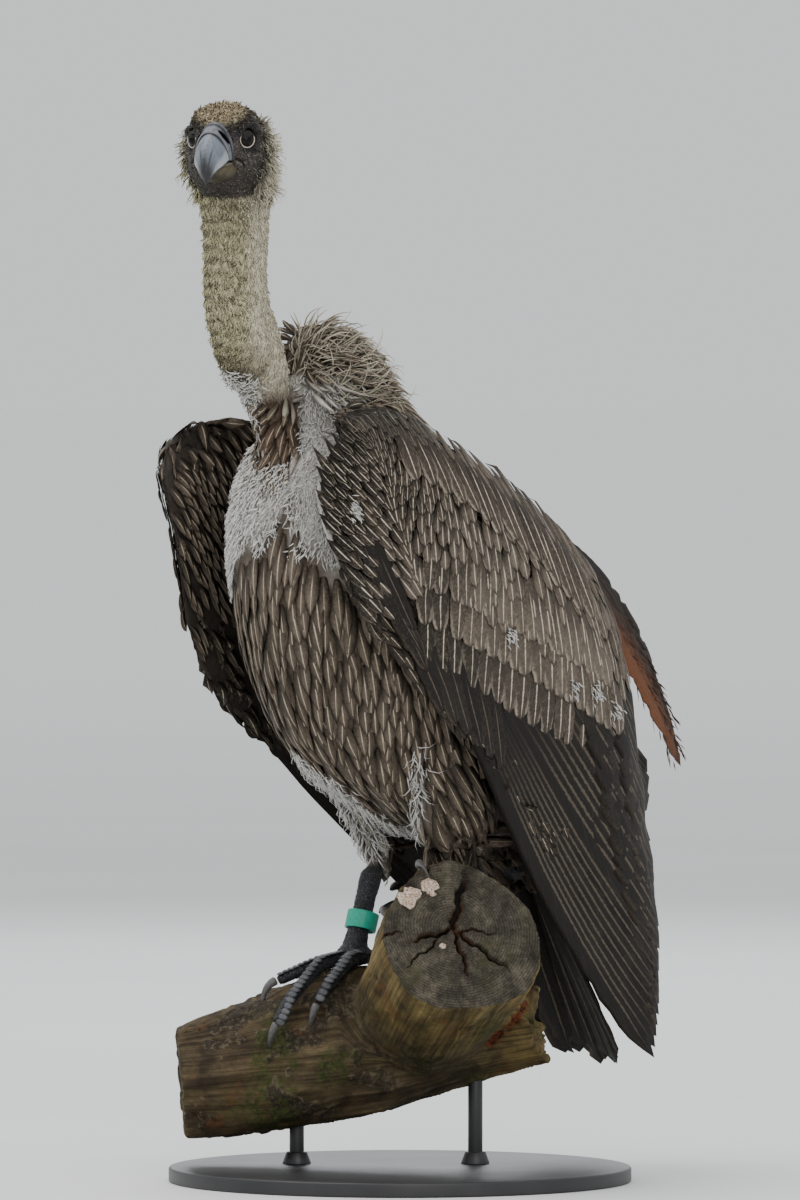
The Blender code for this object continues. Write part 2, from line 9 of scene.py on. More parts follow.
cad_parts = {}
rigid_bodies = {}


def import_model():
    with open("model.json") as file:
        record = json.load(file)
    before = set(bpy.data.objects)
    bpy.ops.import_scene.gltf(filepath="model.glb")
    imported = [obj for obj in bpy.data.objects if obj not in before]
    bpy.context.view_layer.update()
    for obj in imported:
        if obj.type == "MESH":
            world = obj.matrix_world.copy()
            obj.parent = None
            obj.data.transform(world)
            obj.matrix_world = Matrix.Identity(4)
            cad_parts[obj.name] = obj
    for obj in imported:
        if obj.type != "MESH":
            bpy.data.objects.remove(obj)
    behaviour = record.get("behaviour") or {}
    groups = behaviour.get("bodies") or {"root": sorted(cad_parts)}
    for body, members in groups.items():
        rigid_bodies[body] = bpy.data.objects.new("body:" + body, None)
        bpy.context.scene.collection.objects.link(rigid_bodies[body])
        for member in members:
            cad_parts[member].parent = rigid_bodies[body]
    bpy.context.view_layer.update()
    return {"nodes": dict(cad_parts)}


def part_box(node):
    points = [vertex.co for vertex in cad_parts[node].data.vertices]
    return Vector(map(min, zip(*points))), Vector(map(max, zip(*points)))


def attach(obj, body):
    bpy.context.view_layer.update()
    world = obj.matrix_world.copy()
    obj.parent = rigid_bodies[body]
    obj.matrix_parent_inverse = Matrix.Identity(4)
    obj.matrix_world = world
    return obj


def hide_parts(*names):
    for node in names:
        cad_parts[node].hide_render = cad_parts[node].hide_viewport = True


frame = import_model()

bpy.ops.object.select_all(action="DESELECT")

# ------------------------ Studio: camera, floor and light
# A still model on a pale floor under large soft lamps.  The camera stands ten metres off, at the
# bird's left front and hardly above its belly, with a long lens that takes in the whole stand.

VIEW_AZIMUTH, VIEW_RISE = math.radians(45), math.radians(1.5)
VIEW_DISTANCE, VIEW_HEIGHT = 10.0, 0.984
VIEW_MIDDLE = Vector((0, 0, 0.477))
SENSOR = 36

towards_camera = Vector(
    (
        math.sin(VIEW_AZIMUTH) * math.cos(VIEW_RISE),
        -math.cos(VIEW_AZIMUTH) * math.cos(VIEW_RISE),
        math.sin(VIEW_RISE),
    )
)
bpy.ops.object.camera_add(location=VIEW_MIDDLE + towards_camera * VIEW_DISTANCE)
camera = bpy.context.object
camera.rotation_mode = "QUATERNION"
camera.rotation_quaternion = (-towards_camera).to_track_quat("-Z", "Y")
camera.data.sensor_width = SENSOR
camera.data.lens = SENSOR * VIEW_DISTANCE / VIEW_HEIGHT
camera.data.clip_start, camera.data.clip_end = 0.5, 200
bpy.context.scene.camera = camera


def soft_lamp(name, place, size, power, colour):
    """A square studio lamp that faces the bird's breast."""
    bpy.ops.object.light_add(type="AREA", location=place)
    lamp = bpy.context.object
    lamp.name = name
    lamp.rotation_euler = (Vector((0, 0, 0.5)) - Vector(place)).to_track_quat("-Z", "Y").to_euler()
    lamp.data.size = size
    lamp.data.energy = power
    lamp.data.color = colour


soft_lamp("lamp_overhead", (-0.6, -1.0, 3.4), 2.6, 82, (1.0, 0.98, 0.95))
soft_lamp("lamp_left_front", (3.2, -2.2, 1.9), 2.0, 50, (1.0, 0.97, 0.94))
soft_lamp("lamp_right_rear", (-2.4, 2.6, 2.2), 2.0, 44, (0.93, 0.97, 1.0))

world = bpy.data.worlds.new("studio_air")
world.use_nodes = True
world.node_tree.nodes["Background"].inputs["Color"].default_value = (0.86, 0.88, 0.89, 1)
world.node_tree.nodes["Background"].inputs["Strength"].default_value = 0.95
bpy.context.scene.world = world


class Wire:
    """An output of a finish's nodes.  A sum written with it adds Math nodes."""

    def __init__(self, finish, socket):
        self.finish, self.socket = finish, socket

    def math(self, operation, first, second=0.0):
        return self.finish.node("ShaderNodeMath", {"operation": operation}, {0: first, 1: second})

    def __add__(self, other):
        return self.math("ADD", self, other)

    __radd__ = __add__

    def __sub__(self, other):
        return self.math("SUBTRACT", self, other)

    def __rsub__(self, other):
        return self.math("SUBTRACT", other, self)

    def __mul__(self, other):
        return self.math("MULTIPLY", self, other)

    __rmul__ = __mul__

    def __pow__(self, other):
        return self.math("POWER", self, other)

    def __abs__(self):
        return self.math("ABSOLUTE", self)


def grey(level):
    return (level, level, level)


class Finish:
    """A material with one Principled shader.  Values that are even all over go straight on it."""

    def __init__(self, name, **even):
        self.material = bpy.data.materials.new(name)
        self.material.use_nodes = True
        self.tree = self.material.node_tree
        self.shader = self.tree.nodes["Principled BSDF"]
        for socket, value in even.items():
            self.shader.inputs[socket.replace("_", " ")].default_value = value

    def node(self, kind, settings=None, inputs=None, output=0):
        """Adds a node: its settings first, then its sockets' values or links."""
        made = self.tree.nodes.new(kind)
        for name, value in (settings or {}).items():
            if name == "stops":
                while len(made.color_ramp.elements) < len(value):
                    made.color_ramp.elements.new(1)
                for element, (place, colour) in zip(made.color_ramp.elements, value):
                    element.position, element.color = place, (*colour, 1)
            else:
                setattr(made, name, value)
        for name, value in (inputs or {}).items():
            if isinstance(value, Wire):
                self.tree.links.new(value.socket, made.inputs[name])
            elif isinstance(value, tuple) and len(made.inputs[name].default_value) == 4:
                made.inputs[name].default_value = (*value, 1)[:4]
            else:
                made.inputs[name].default_value = value
        return Wire(self, made.outputs[output])

    def where(self):
        """Places on the piece, in metres."""
        return self.node("ShaderNodeTexCoord", output="Object")

    def stretched(self, place, scale):
        return self.node("ShaderNodeMapping", {}, {"Vector": place, "Scale": scale})

    def noise(self, place, scale, detail=3.0, rough=0.55):
        socket_shade = {"Vector": place, "Scale": scale, "Detail": detail, "Roughness": rough}
        return self.node("ShaderNodeTexNoise", {}, socket_shade)

    def cells(self, place, scale, feature="F1", output="Distance"):
        socket_shade = {"Vector": place, "Scale": scale}
        return self.node("ShaderNodeTexVoronoi", {"feature": feature}, socket_shade, output)

    def rise(self, value, low, high):
        """0 below low, 1 above high, smooth between; low may be the higher one."""
        socket_shade = {"Value": value, "From Min": low, "From Max": high}
        return self.node("ShaderNodeMapRange", {"interpolation_type": "SMOOTHSTEP"}, socket_shade)

    def mix(self, mask, first, second, how="MIX"):
        settings = {"data_type": "RGBA", "blend_type": how}
        return self.node("ShaderNodeMix", settings, {0: mask, 6: first, 7: second}, 2)

    def ramp(self, value, *stops):
        return self.node("ShaderNodeValToRGB", {"stops": stops}, {0: value})

    def attribute(self, name, output="Fac"):
        return self.node("ShaderNodeAttribute", {"attribute_name": name}, output=output)

    def split(self, value):
        """The three parts of a colour or place."""
        first = self.node("ShaderNodeSeparateXYZ", {}, {"Vector": value})
        return [Wire(self, socket) for socket in first.socket.node.outputs]

    def joined(self, x, y, z):
        return self.node("ShaderNodeCombineXYZ", {}, {"X": x, "Y": y, "Z": z})

    def vane(self):
        """Across and along a feather, 0 to 1."""
        return self.split(self.node("ShaderNodeUVMap", {"uv_map": "vane"}))[:2]

    def bump(self, height, depth, strength=1.0):
        """Relief whose height is in units of depth metres."""
        socket_shade = {"Height": height, "Distance": depth, "Strength": strength}
        return self.node("ShaderNodeBump", {}, socket_shade, "Normal")

    def paint(self, **socket_shade):
        for name, value in socket_shade.items():
            self.tree.links.new(value.socket, self.shader.inputs[name.replace("_", " ")])
        return self.material


floor_finish = Finish("studio_floor", Roughness=0.75)
cloudy = floor_finish.noise(floor_finish.where(), 1.5, 4)
floor_tint = floor_finish.ramp(cloudy, (0.3, (0.72, 0.73, 0.73)), (0.7, (0.77, 0.78, 0.78)))
floor_x, floor_y, _ = floor_finish.split(floor_finish.where())
far_off = floor_finish.rise((floor_x * floor_x + floor_y * floor_y) ** 0.5, 2.5, 14.0)
floor_tint = floor_finish.mix(far_off, floor_tint, grey(0.985))  # meets the air unseen
bpy.ops.mesh.primitive_circle_add(vertices=64, radius=60, fill_type="NGON")
floor = bpy.context.object
floor.name = "studio_floor"
floor.data.materials.append(floor_finish.paint(Base_Color=floor_tint))

# ------------------------ Stand: round plate and two rods
# A turned steel plate with an eased edge, and two rods that screw into it through low collars and
# run up into holes in the log.  All of it is coated satin black.

steel = Finish("satin_black_coat", Metallic=0.0, Specular_IOR_Level=0.5)
fine = steel.noise(steel.where(), 900, 2)
broad = steel.noise(steel.where(), 14, 4)
steel_tint = steel.ramp(broad, (0.35, (0.016, 0.016, 0.018)), (0.75, (0.030, 0.030, 0.032)))
steel.paint(Base_Color=steel_tint, Roughness=0.36 + broad * 0.16, Normal=steel.bump(fine, 0.0002, 0.35))


def finish_piece(piece, name, material, replaced=()):
    """Names a finished piece, gives it its material and sets it on the frame."""
    piece.name = piece.data.name = name
    piece.data.materials.clear()
    piece.data.materials.append(material)
    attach(piece, "root")
    if replaced:
        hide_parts(*replaced)
    return piece


def choose(piece):
    """Selects one piece alone."""
    bpy.ops.object.select_all(action="DESELECT")
    piece.select_set(True)
    bpy.context.view_layer.objects.active = piece


def apply_place(piece):
    """Moves a piece's place into its mesh, as the frame's own pieces have it."""
    choose(piece)
    bpy.ops.object.transform_apply(location=True, rotation=True, scale=True)


def eased_edges(piece, width, segments):
    """Rounds a turned piece's edges and shades its round side smooth."""
    bevel = piece.modifiers.new("eased", "BEVEL")
    bevel.width, bevel.segments, bevel.limit_method = width, segments, "ANGLE"
    bpy.ops.object.modifier_apply(modifier="eased")
    bpy.ops.object.shade_smooth_by_angle(angle=math.radians(40))


plate_low, plate_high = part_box("stand_base")
bpy.ops.mesh.primitive_cylinder_add(
    vertices=128,
    radius=plate_high.x,
    depth=plate_high.z - plate_low.z,
    location=(plate_low + plate_high) / 2,
)
plate = bpy.context.object
apply_place(plate)
eased_edges(plate, 0.0018, 4)
finish_piece(plate, "round_plate", steel.material, ["stand_base"])

COLLAR_HEIGHT, COLLAR_FLARE, ROD_BITE = 0.010, 0.006, 0.006
for number in (1, 2):
    rod_low, rod_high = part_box(f"stand_rod_{number}")
    middle, radius = (rod_low + rod_high) / 2, (rod_high.x - rod_low.x) / 2
    height = rod_high.z + ROD_BITE - plate_high.z
    bpy.ops.mesh.primitive_cylinder_add(
        vertices=40, radius=radius, depth=height, location=(middle.x, middle.y, plate_high.z + height / 2)
    )
    rod = bpy.context.object
    bpy.ops.mesh.primitive_cone_add(
        vertices=40,
        radius1=radius + COLLAR_FLARE,
        radius2=radius + COLLAR_FLARE * 0.4,
        depth=COLLAR_HEIGHT,
        location=(middle.x, middle.y, plate_high.z + COLLAR_HEIGHT / 2),
    )
    rod.select_set(True)
    bpy.context.view_layer.objects.active = rod
    bpy.ops.object.join()
    apply_place(rod)
    eased_edges(rod, 0.0008, 2)
    finish_piece(rod, f"rod_{number}", steel.material, [f"stand_rod_{number}"])

# ------------------------ Perch: the forked log
# A weathered log with scraps of bark: a main length broken off at its thin end, and a stub sawn
# square across, whose face has dried into a star of cracks.  Grain and cracks are cut in its skin.

LOG_YAW, LOG_RISE = math.radians(45), 0.10
LOG_RADIUS = 0.055
LOG_LINE = Vector((-0.021, 0.021, 0.116))  # a point of the main length's axis
STUB_ROOT, STUB_FACE = Vector((-0.010, 0.024, 0.126)), Vector((0.122, -0.052, 0.206))
STUB_RADIUS = 0.067
PITH = (-0.005, 0.009)  # off the face's middle, to the right and up
CROOK = ((0.060, 0.047, 0.115), (0.069, 0.080, 0.142))  # red rot between stub and broken end
CRACKS = (  # from the pith: degrees from the right, start, end, half width, in metres
    (72, 0.000, 0.058, 0.0030),
    (196, 0.000, 0.043, 0.0019),
    (280, 0.000, 0.047, 0.0015),
    (318, 0.004, 0.062, 0.0017),
    (352, 0.006, 0.040, 0.0007),
    (184, 0.038, 0.066, 0.0010),
    (217, 0.018, 0.058, 0.0006),
    (128, 0.044, 0.066, 0.0016),
    (104, 0.044, 0.068, 0.0014),
)
CRUSTS = (  # dried fungus on the face and a pale speck: right, up, radius
    (-0.041, 0.036, 0.0095), (-0.034, 0.041, 0.006), (-0.020, 0.047, 0.0085), (-0.017, -0.007, 0.0035),
)  # fmt: skip
rng = np.random.default_rng(11)
lattice = rng.random((24, 24, 24))


def lumps(points, scale):
    """Smooth random height, -1 to 1, over points; scale is lumps to the metre, for each axis."""
    q = points * scale
    cell = np.floor(q).astype(int)
    f = q - cell
    f = f * f * (3 - 2 * f)
    total = 0
    for corner in range(8):
        step = np.array([corner & 1, corner >> 1 & 1, corner >> 2])
        weight = np.prod(np.where(step, f, 1 - f), axis=1)
        i, j, k = ((cell + step) % 24).T
        total = total + weight * lattice[i, j, k]
    return total * 2 - 1


def ramp_up(x, low, high):
    """0 below low and 1 above high, smooth between."""
    t = np.clip((x - low) / (high - low), 0, 1)
    return t * t * (3 - 2 * t)


def unit(v):
    """Vectors brought to a length of one."""
    return v / np.maximum(np.linalg.norm(v, axis=-1, keepdims=True), 1e-9)


def read_all(items, name, width=3):
    """One property of all of a mesh's points, faces or corners."""
    values = np.empty(len(items) * width, np.float32)
    items.foreach_get(name, values)
    return values.reshape(-1, width).astype(float)


def points_of(mesh):
    return read_all(mesh.vertices, "co")


def normals_of(mesh):
    return read_all(mesh.vertices, "normal")


def face_middles(mesh):
    return read_all(mesh.polygons, "center")


def near_line(points, *line):
    """Distance from points to a line through several places, and how far along it they are, 0 to 1."""
    line = np.array(line, float)
    best, along = np.full(len(points), 1e9), np.zeros(len(points))
    for k, (a, b) in enumerate(zip(line, line[1:])):
        share = np.clip((points - a) @ (b - a) / ((b - a) @ (b - a)), 0, 1)
        away = np.linalg.norm(points - a - share[:, None] * (b - a), axis=1)
        along = np.where(away < best, (k + share) / (len(line) - 1), along)
        best = np.minimum(best, away)
    return best, along


def set_points(mesh, points):
    mesh.vertices.foreach_set("co", points.astype(np.float32).ravel())
    mesh.update()


def store(mesh, name, values, kind="FLOAT", domain="POINT"):
    """Keeps a value, vector or colour on each of a mesh's points."""
    key = {"FLOAT": "value", "FLOAT_VECTOR": "vector", "FLOAT_COLOR": "color"}[kind]
    layer = mesh.attributes.new(name, kind, domain)
    layer.data.foreach_set(key, np.asarray(values, np.float32).ravel())


def copy_of(nodes, name):
    """One object with welded copies of frame nodes in it."""
    bpy.ops.object.select_all(action="DESELECT")
    for node in nodes:
        piece = bpy.data.objects.new(name, frame["nodes"][node].data.copy())
        bpy.context.scene.collection.objects.link(piece)
        piece.select_set(True)
        bpy.context.view_layer.objects.active = piece
    if len(nodes) > 1:
        bpy.ops.object.join()
    piece = bpy.context.view_layer.objects.active
    bpy.ops.object.mode_set(mode="EDIT")
    bpy.ops.mesh.select_all(action="SELECT")
    bpy.ops.mesh.remove_doubles(threshold=1e-5)
    bpy.ops.object.mode_set(mode="OBJECT")
    return piece


def apply_modifier(piece, kind, **settings):
    made = piece.modifiers.new(kind.lower(), kind)
    for name, value in settings.items():
        setattr(made, name, value)
    bpy.context.view_layer.objects.active = piece
    bpy.ops.object.modifier_apply(modifier=made.name)


def select_none(kind):
    """Lets go of the active piece's whole mesh, before a choice by points (VERT) or faces (FACE)."""
    bpy.ops.object.mode_set(mode="EDIT")
    bpy.ops.mesh.select_mode(type=kind)
    bpy.ops.mesh.select_all(action="DESELECT")
    bpy.ops.object.mode_set(mode="OBJECT")


def subdivide_where(piece, chosen):
    """Splits the faces for which chosen, one truth value a face, holds."""
    select_none("FACE")
    piece.data.polygons.foreach_set("select", chosen)
    bpy.ops.object.mode_set(mode="EDIT")
    bpy.ops.mesh.subdivide(number_cuts=1)
    bpy.ops.object.mode_set(mode="OBJECT")


log = copy_of(["perch_branch"], "log")
apply_modifier(log, "REMESH", mode="VOXEL", voxel_size=0.0023)
apply_modifier(log, "SMOOTH", factor=0.5, iterations=3)

stub_out = np.array((STUB_FACE - STUB_ROOT).normalized())
face_right = unit(np.cross((0, 0, 1), stub_out))
face_up = np.cross(stub_out, face_right)
log_along = unit(np.array((math.cos(LOG_YAW), math.sin(LOG_YAW), LOG_RISE)))


def face_depth(points):
    """How far points lie beyond the sawn face."""
    return (points - np.array(STUB_FACE)) @ stub_out


middles = face_middles(log.data)
on_face = (np.abs(face_depth(middles)) < 0.006) & (
    np.linalg.norm(middles - np.array(STUB_FACE), axis=1) < STUB_RADIUS * 1.15
)
subdivide_where(log, on_face)

places, outward = points_of(log.data), normals_of(log.data)
from_root, from_line = places - np.array(STUB_ROOT), places - np.array(LOG_LINE)
up_stub, up_log = from_root @ stub_out, from_line @ log_along
off_stub = np.linalg.norm(from_root - up_stub[:, None] * stub_out, axis=1) - STUB_RADIUS * 0.9
off_log = np.linalg.norm(from_line - up_log[:, None] * log_along, axis=1) - LOG_RADIUS
in_stub = ramp_up(off_log - off_stub, -0.008, 0.010) * ramp_up(up_stub, 0.02, 0.06)
side_log = np.cross(log_along, (0, 0, 1))
around_log = np.arctan2(from_line @ side_log, from_line @ np.cross(side_log, log_along)) * LOG_RADIUS
around_stub = np.arctan2(from_root @ face_right, from_root @ face_up) * STUB_RADIUS
along_log = np.stack([up_log, around_log, off_log], axis=1)
along_stub = np.stack([up_stub, around_stub, off_stub], axis=1)
fibre = along_log * (1 - in_stub[:, None]) + along_stub * in_stub[:, None]
depth = face_depth(places)
sawn = ramp_up(depth, -0.0035, -0.0008) * ramp_up(outward @ stub_out, 0.3, 0.7)
broken = ramp_up(up_log, 0.108, 0.124) * (1 - in_stub) * ramp_up(outward @ log_along, 0.1, 0.6)

relief = 0.0016 * lumps(fibre, (14, 60, 20)) + 0.0007 * lumps(fibre + 3.1, (30, 260, 40))
split = lumps(fibre + 7.7, (9, 75, 10))
splits = np.exp(-((split / 0.07) ** 2)) * ramp_up(lumps(fibre + 1.3, (7, 16, 9)), 0.0, 0.5)
knots = np.exp(-((lumps(fibre + 5.1, (22, 30, 22)) - 0.8) / 0.2) ** 2)
relief += -0.0042 * splits - 0.0015 * knots
flakes = lumps(places + 9.4, (40, 40, 52)) + 0.6 * lumps(places + 4.4, (130, 130, 130))
flakes = ramp_up(flakes, 0.08, 0.20) * (1 - in_stub) * ramp_up(up_log, 0.030, -0.040) * (1 - sawn)
off_crook, _ = near_line(places, *CROOK)
hollow = 1 - ramp_up(off_crook + 0.0025 * lumps(places, (180, 180, 180)), 0.0015, 0.0075)
relief += -0.0050 * hollow + 0.0015 * flakes + 0.0007 * lumps(places + 6.6, (95, 95, 95))
relief += 0.004 * broken * lumps(places + 2.2, (160, 160, 160))
relief += 0.006 * broken * lumps(fibre, (20, 220, 150))
flattened = sawn[:, None] * (face_depth(places)[:, None] + 0.0006) * stub_out
places = places + outward * (relief * (1 - sawn))[:, None] - flattened

across = (places - np.array(STUB_FACE)) @ face_right - PITH[0]
above = (places - np.array(STUB_FACE)) @ face_up - PITH[1]
gaps = np.zeros(len(places))
for degrees, start, end, half in CRACKS:
    turn = math.radians(degrees)
    reach = across * math.cos(turn) + above * math.sin(turn)
    wander = 0.0013 * np.sin(reach * 260 + degrees) + 0.0006 * np.sin(reach * 700)
    aside = np.abs(above * math.cos(turn) - across * math.sin(turn) + wander)
    taper = ramp_up(reach, start - 0.004, start + 0.004) * (1 - ramp_up(reach, end - 0.022, end + 0.004))
    if start > 0.03:  # these open from the rim
        taper = ramp_up(reach, start, start + 0.02)
    gaps = np.maximum(gaps, taper * np.exp(-((aside / (half * (0.35 + 0.65 * taper))) ** 4)))
near_face = ramp_up(depth, -0.03, -0.004)
places -= stub_out * (gaps * sawn * 0.0085)[:, None]
places -= outward * (gaps * (1 - sawn) * near_face * 0.004)[:, None]
growth = np.sqrt(across**2 + above**2)
sawn_lumps = 0.00035 * lumps(places, (420, 420, 420)) + 0.0005 * lumps(places + 3, (110, 110, 110))
places += stub_out * (sawn * sawn_lumps)[:, None]
crust = np.zeros(len(places))
for right, high, size in CRUSTS:
    off = np.hypot(across + PITH[0] - right, above + PITH[1] - high)
    off += 0.0028 * lumps(places, (300, 300, 300))
    crust = np.maximum(crust, (1 - ramp_up(off, size * 0.7, size)) * sawn)
places += stub_out * (crust * (0.0016 + 0.0011 * lumps(places, (700, 700, 700))))[:, None]
set_points(log.data, places)
store(log.data, "fibre", fibre, "FLOAT_VECTOR")
gaps = np.maximum(gaps * np.maximum(sawn, near_face), splits * 0.8 * (1 - sawn))
layers = {"sawn": sawn, "broken": broken, "gap": gaps, "growth": growth}
for layer, values in (layers | {"flakes": flakes, "hollow": hollow, "crust": crust}).items():
    store(log.data, layer, values)
choose(log)
bpy.ops.object.shade_smooth_by_angle(angle=math.radians(50))

wood = Finish("weathered_log", Specular_IOR_Level=0.25)
place, grain_way = wood.where(), wood.attribute("fibre", "Vector")
sawn_mask, gap_mask, rot_mask = (wood.attribute(name) for name in ("sawn", "gap", "broken"))
threads = wood.noise(wood.stretched(grain_way, (9, 330, 60)), 1.0, 6, 0.62)
bands = wood.noise(wood.stretched(grain_way, (5, 42, 20)), 1.0, 4)
patches = wood.noise(place, 21, 5, 0.6)
side_tint = wood.ramp(
    threads * 0.55 + bands * 0.45,
    (0.28, (0.018, 0.013, 0.008)),
    (0.44, (0.075, 0.056, 0.032)),
    (0.56, (0.155, 0.122, 0.072)),
    (0.74, (0.300, 0.250, 0.160)),
)
to_left, _, height = wood.split(place)
grey_brown = wood.mix(0.75, side_tint, (0.62, 0.55, 0.50), "MULTIPLY")
side_tint = wood.mix(wood.rise(to_left, -0.045, 0.03), grey_brown, side_tint)
stains = wood.ramp(
    wood.noise(place, 34, 6, 0.7),
    (0.36, (0.22, 0.21, 0.18)),
    (0.50, (0.72, 0.71, 0.66)),
    (0.66, (1.20, 1.16, 1.0)),
)
side_tint = wood.mix(0.85, side_tint, stains, "MULTIPLY")
thin_end = wood.rise(wood.split(grain_way)[0], 0.04, 0.10)
side_tint = wood.mix(thin_end * 0.8, side_tint, (1.30, 1.20, 0.72), "MULTIPLY")
flake = wood.attribute("flakes")
flake_tint = wood.ramp(
    wood.noise(place, 300, 5, 0.7),
    (0.38, (0.009, 0.007, 0.005)),
    (0.56, (0.040, 0.031, 0.021)),
    (0.72, (0.17, 0.135, 0.09)),
)
side_tint = wood.mix(flake * 0.85, side_tint, flake_tint)
lifted_rim = flake * (1 - flake) * 1.3 * wood.rise(wood.noise(place, 200, 3), 0.45, 0.60)
side_tint = wood.mix(lifted_rim, side_tint, (0.26, 0.21, 0.14))
moss_mask = wood.rise(patches, 0.47, 0.64) * wood.rise(height, 0.175, 0.10) * 0.85
moss_mask = moss_mask * wood.rise(wood.noise(place, 150, 4, 0.7), 0.40, 0.56)
moss_tint = wood.ramp(wood.noise(place, 260, 3), (0.3, (0.012, 0.020, 0.004)), (0.8, (0.085, 0.105, 0.022)))
side_tint = wood.mix(moss_mask, side_tint, moss_tint)
rust_mask = wood.rise(wood.noise(place, 30, 3), 0.60, 0.72) * 0.55
side_tint = wood.mix(rust_mask, side_tint, (0.13, 0.05, 0.018))
red_rot = wood.ramp(wood.noise(place, 240, 4), (0.38, (0.012, 0.004, 0.002)), (0.62, (0.17, 0.045, 0.014)))
side_tint = wood.mix(wood.rise(wood.attribute("hollow"), 0.15, 0.7), side_tint, red_rot)
rings = wood.attribute("growth") * 2700 + patches * 6
ring_lines = wood.node("ShaderNodeMath", {"operation": "SINE"}, {0: rings})
face_tint = wood.ramp(
    wood.noise(place, 60, 6, 0.75) * 0.7 + wood.noise(place, 700, 3, 0.7) * 0.3 + ring_lines * 0.030,
    (0.36, (0.012, 0.010, 0.007)),
    (0.48, (0.036, 0.031, 0.022)),
    (0.58, (0.078, 0.068, 0.049)),
    (0.70, (0.175, 0.150, 0.106)),
)
face_green = wood.rise(wood.noise(place, 38, 3), 0.54, 0.70) * 0.30
face_tint = wood.mix(face_green, face_tint, (0.066, 0.064, 0.024))
rot_tint = wood.ramp(
    wood.noise(place, 170, 4),
    (0.35, (0.020, 0.014, 0.007)),
    (0.55, (0.16, 0.12, 0.05)),
    (0.75, (0.34, 0.28, 0.14)),
)
wood_tint = wood.mix(rot_mask, wood.mix(sawn_mask, side_tint, face_tint), rot_tint)
rust_rim = wood.rise(gap_mask, 0.05, 0.35) * sawn_mask * wood.rise(patches, 0.42, 0.55) * 0.7
wood_tint = wood.mix(rust_rim, wood_tint, (0.10, 0.040, 0.014))
crust_tint = wood.ramp(
    wood.noise(place, 620, 4),
    (0.34, (0.20, 0.12, 0.085)),
    (0.50, (0.52, 0.40, 0.30)),
    (0.68, (0.74, 0.67, 0.57)),
)
wood_tint = wood.mix(wood.rise(wood.attribute("crust"), 0.25, 0.6), wood_tint, crust_tint)
# painted shade: near black deep in the cracks and splits
wood_tint = wood.mix(wood.rise(gap_mask, 0.30, 0.85) * 0.93, wood_tint, (0.004, 0.003, 0.002))
wood.paint(
    Base_Color=wood_tint,
    Roughness=0.92 - threads * 0.25,
    Normal=wood.bump(threads * (1 - sawn_mask) + wood.noise(place, 190, 6, 0.75) * 0.9, 0.0018, 0.9),
)
finish_piece(log, "forked_log", wood.material, ["perch_branch"])

# ------------------------ Skin: one skin over all the flesh
# The skin runs without a seam from the face down the neck, over trunk, thighs and the wings' arms,
# to the scaled toes.  It lies inside the plumage by the depth of the feathers that grow on it, and
# is drawn out finer on the head and feet, where it shows bare.

HEAD_MIDDLE = Vector((0.009, -0.209, 0.849))
HEAD_TURN = np.array(
    Matrix.Rotation(math.radians(30), 3, "Z") @ Matrix.Rotation(math.radians(6), 3, "X")
)
FLESH = [
    "head", "neck_upper", "neck_lower", "ruff", "trunk", "thigh_left", "thigh_right",
    "leg_left", "leg_right", "wing_left_arm", "wing_right_arm",
]  # fmt: skip
SIDES = (("left", 1), ("right", -1))
KNEE_TOP = 0.262  # below this height only the bare legs are left


def head_frame(points):
    """Millimetres ahead of, left of and above the head's middle, for world places."""
    local = (points - np.array(HEAD_MIDDLE)) @ HEAD_TURN * 1000
    return np.stack([-local[:, 1], local[:, 0], local[:, 2]], axis=1)


def head_world(ahead, left, up):
    """World places of points given in millimetres on the head."""
    local = np.stack(np.broadcast_arrays(left, -np.asarray(ahead, float), up), axis=-1) * 0.001
    return np.array(HEAD_MIDDLE) + local @ HEAD_TURN.T


def bell(x, width):
    return np.exp(-((x / width) ** 2))


# a wing's front and back edge: mm down its length from the wrist, mm square to that
WRIST = np.array((0.088, -0.148, 0.589))
DOWN, SQUARE = np.array((0, 0.615, -0.788)), np.array((0, 0.788, 0.615))
FRONT_EDGE = (
    (-36, 2), (-22, -28), (10, -46), (40, -56), (87, -70), (130, -73), (183, -69), (227, -56), (290, -38),
    (342, -27), (400, -20), (460, -13), (528, -6), (594, 0), (642, 4),
)  # fmt: skip
BACK_EDGE = (
    (-36, 20), (-22, 52), (10, 80), (40, 97), (87, 124), (130, 143), (183, 162), (227, 174), (290, 170),
    (342, 156), (400, 132), (460, 112), (528, 91), (594, 56), (642, 14),
)  # fmt: skip


def edge_at(table, s):
    return np.interp(s, *np.array(table, float).T)


def tree_of(mesh):
    """A search tree over a mesh's faces."""
    corners = [Vector(p) for p in points_of(mesh)]
    return BVHTree.FromPolygons(corners, [list(p.vertices) for p in mesh.polygons])


def tree_of_nodes(*nodes):
    stand_in = copy_of(nodes, "stand_in")
    tree = tree_of(stand_in.data)
    bpy.data.objects.remove(stand_in)
    return tree


skin = copy_of(FLESH, "skin")
apply_modifier(skin, "REMESH", mode="VOXEL", voxel_size=0.0024)
apply_modifier(skin, "SMOOTH", factor=0.5, iterations=7)
select_none("VERT")  # loose scraps of the thin feathers' stand-in are dropped
skin.data.vertices[int(points_of(skin.data)[:, 2].argmax())].select = True
bpy.ops.object.mode_set(mode="EDIT")
bpy.ops.mesh.select_linked()
bpy.ops.mesh.select_all(action="INVERT")
bpy.ops.mesh.delete(type="VERT")
select_none("FACE")
middles = face_middles(skin.data)
down_wing, square_wing = (middles - WRIST) @ DOWN * 1000, (middles - WRIST) @ SQUARE * 1000
beyond = (square_wing > edge_at(BACK_EDGE, down_wing) + 2.5) & (middles[:, 1] > 0.10) & (down_wing > 150)
beyond &= (np.abs(middles[:, 0]) > 0.035) & (middles[:, 2] > 0.33)
skin.data.polygons.foreach_set("select", beyond)
bpy.ops.object.mode_set(mode="EDIT")
bpy.ops.mesh.delete(type="FACE")
bpy.ops.mesh.select_all(action="SELECT")
bpy.ops.mesh.fill_holes(sides=0)
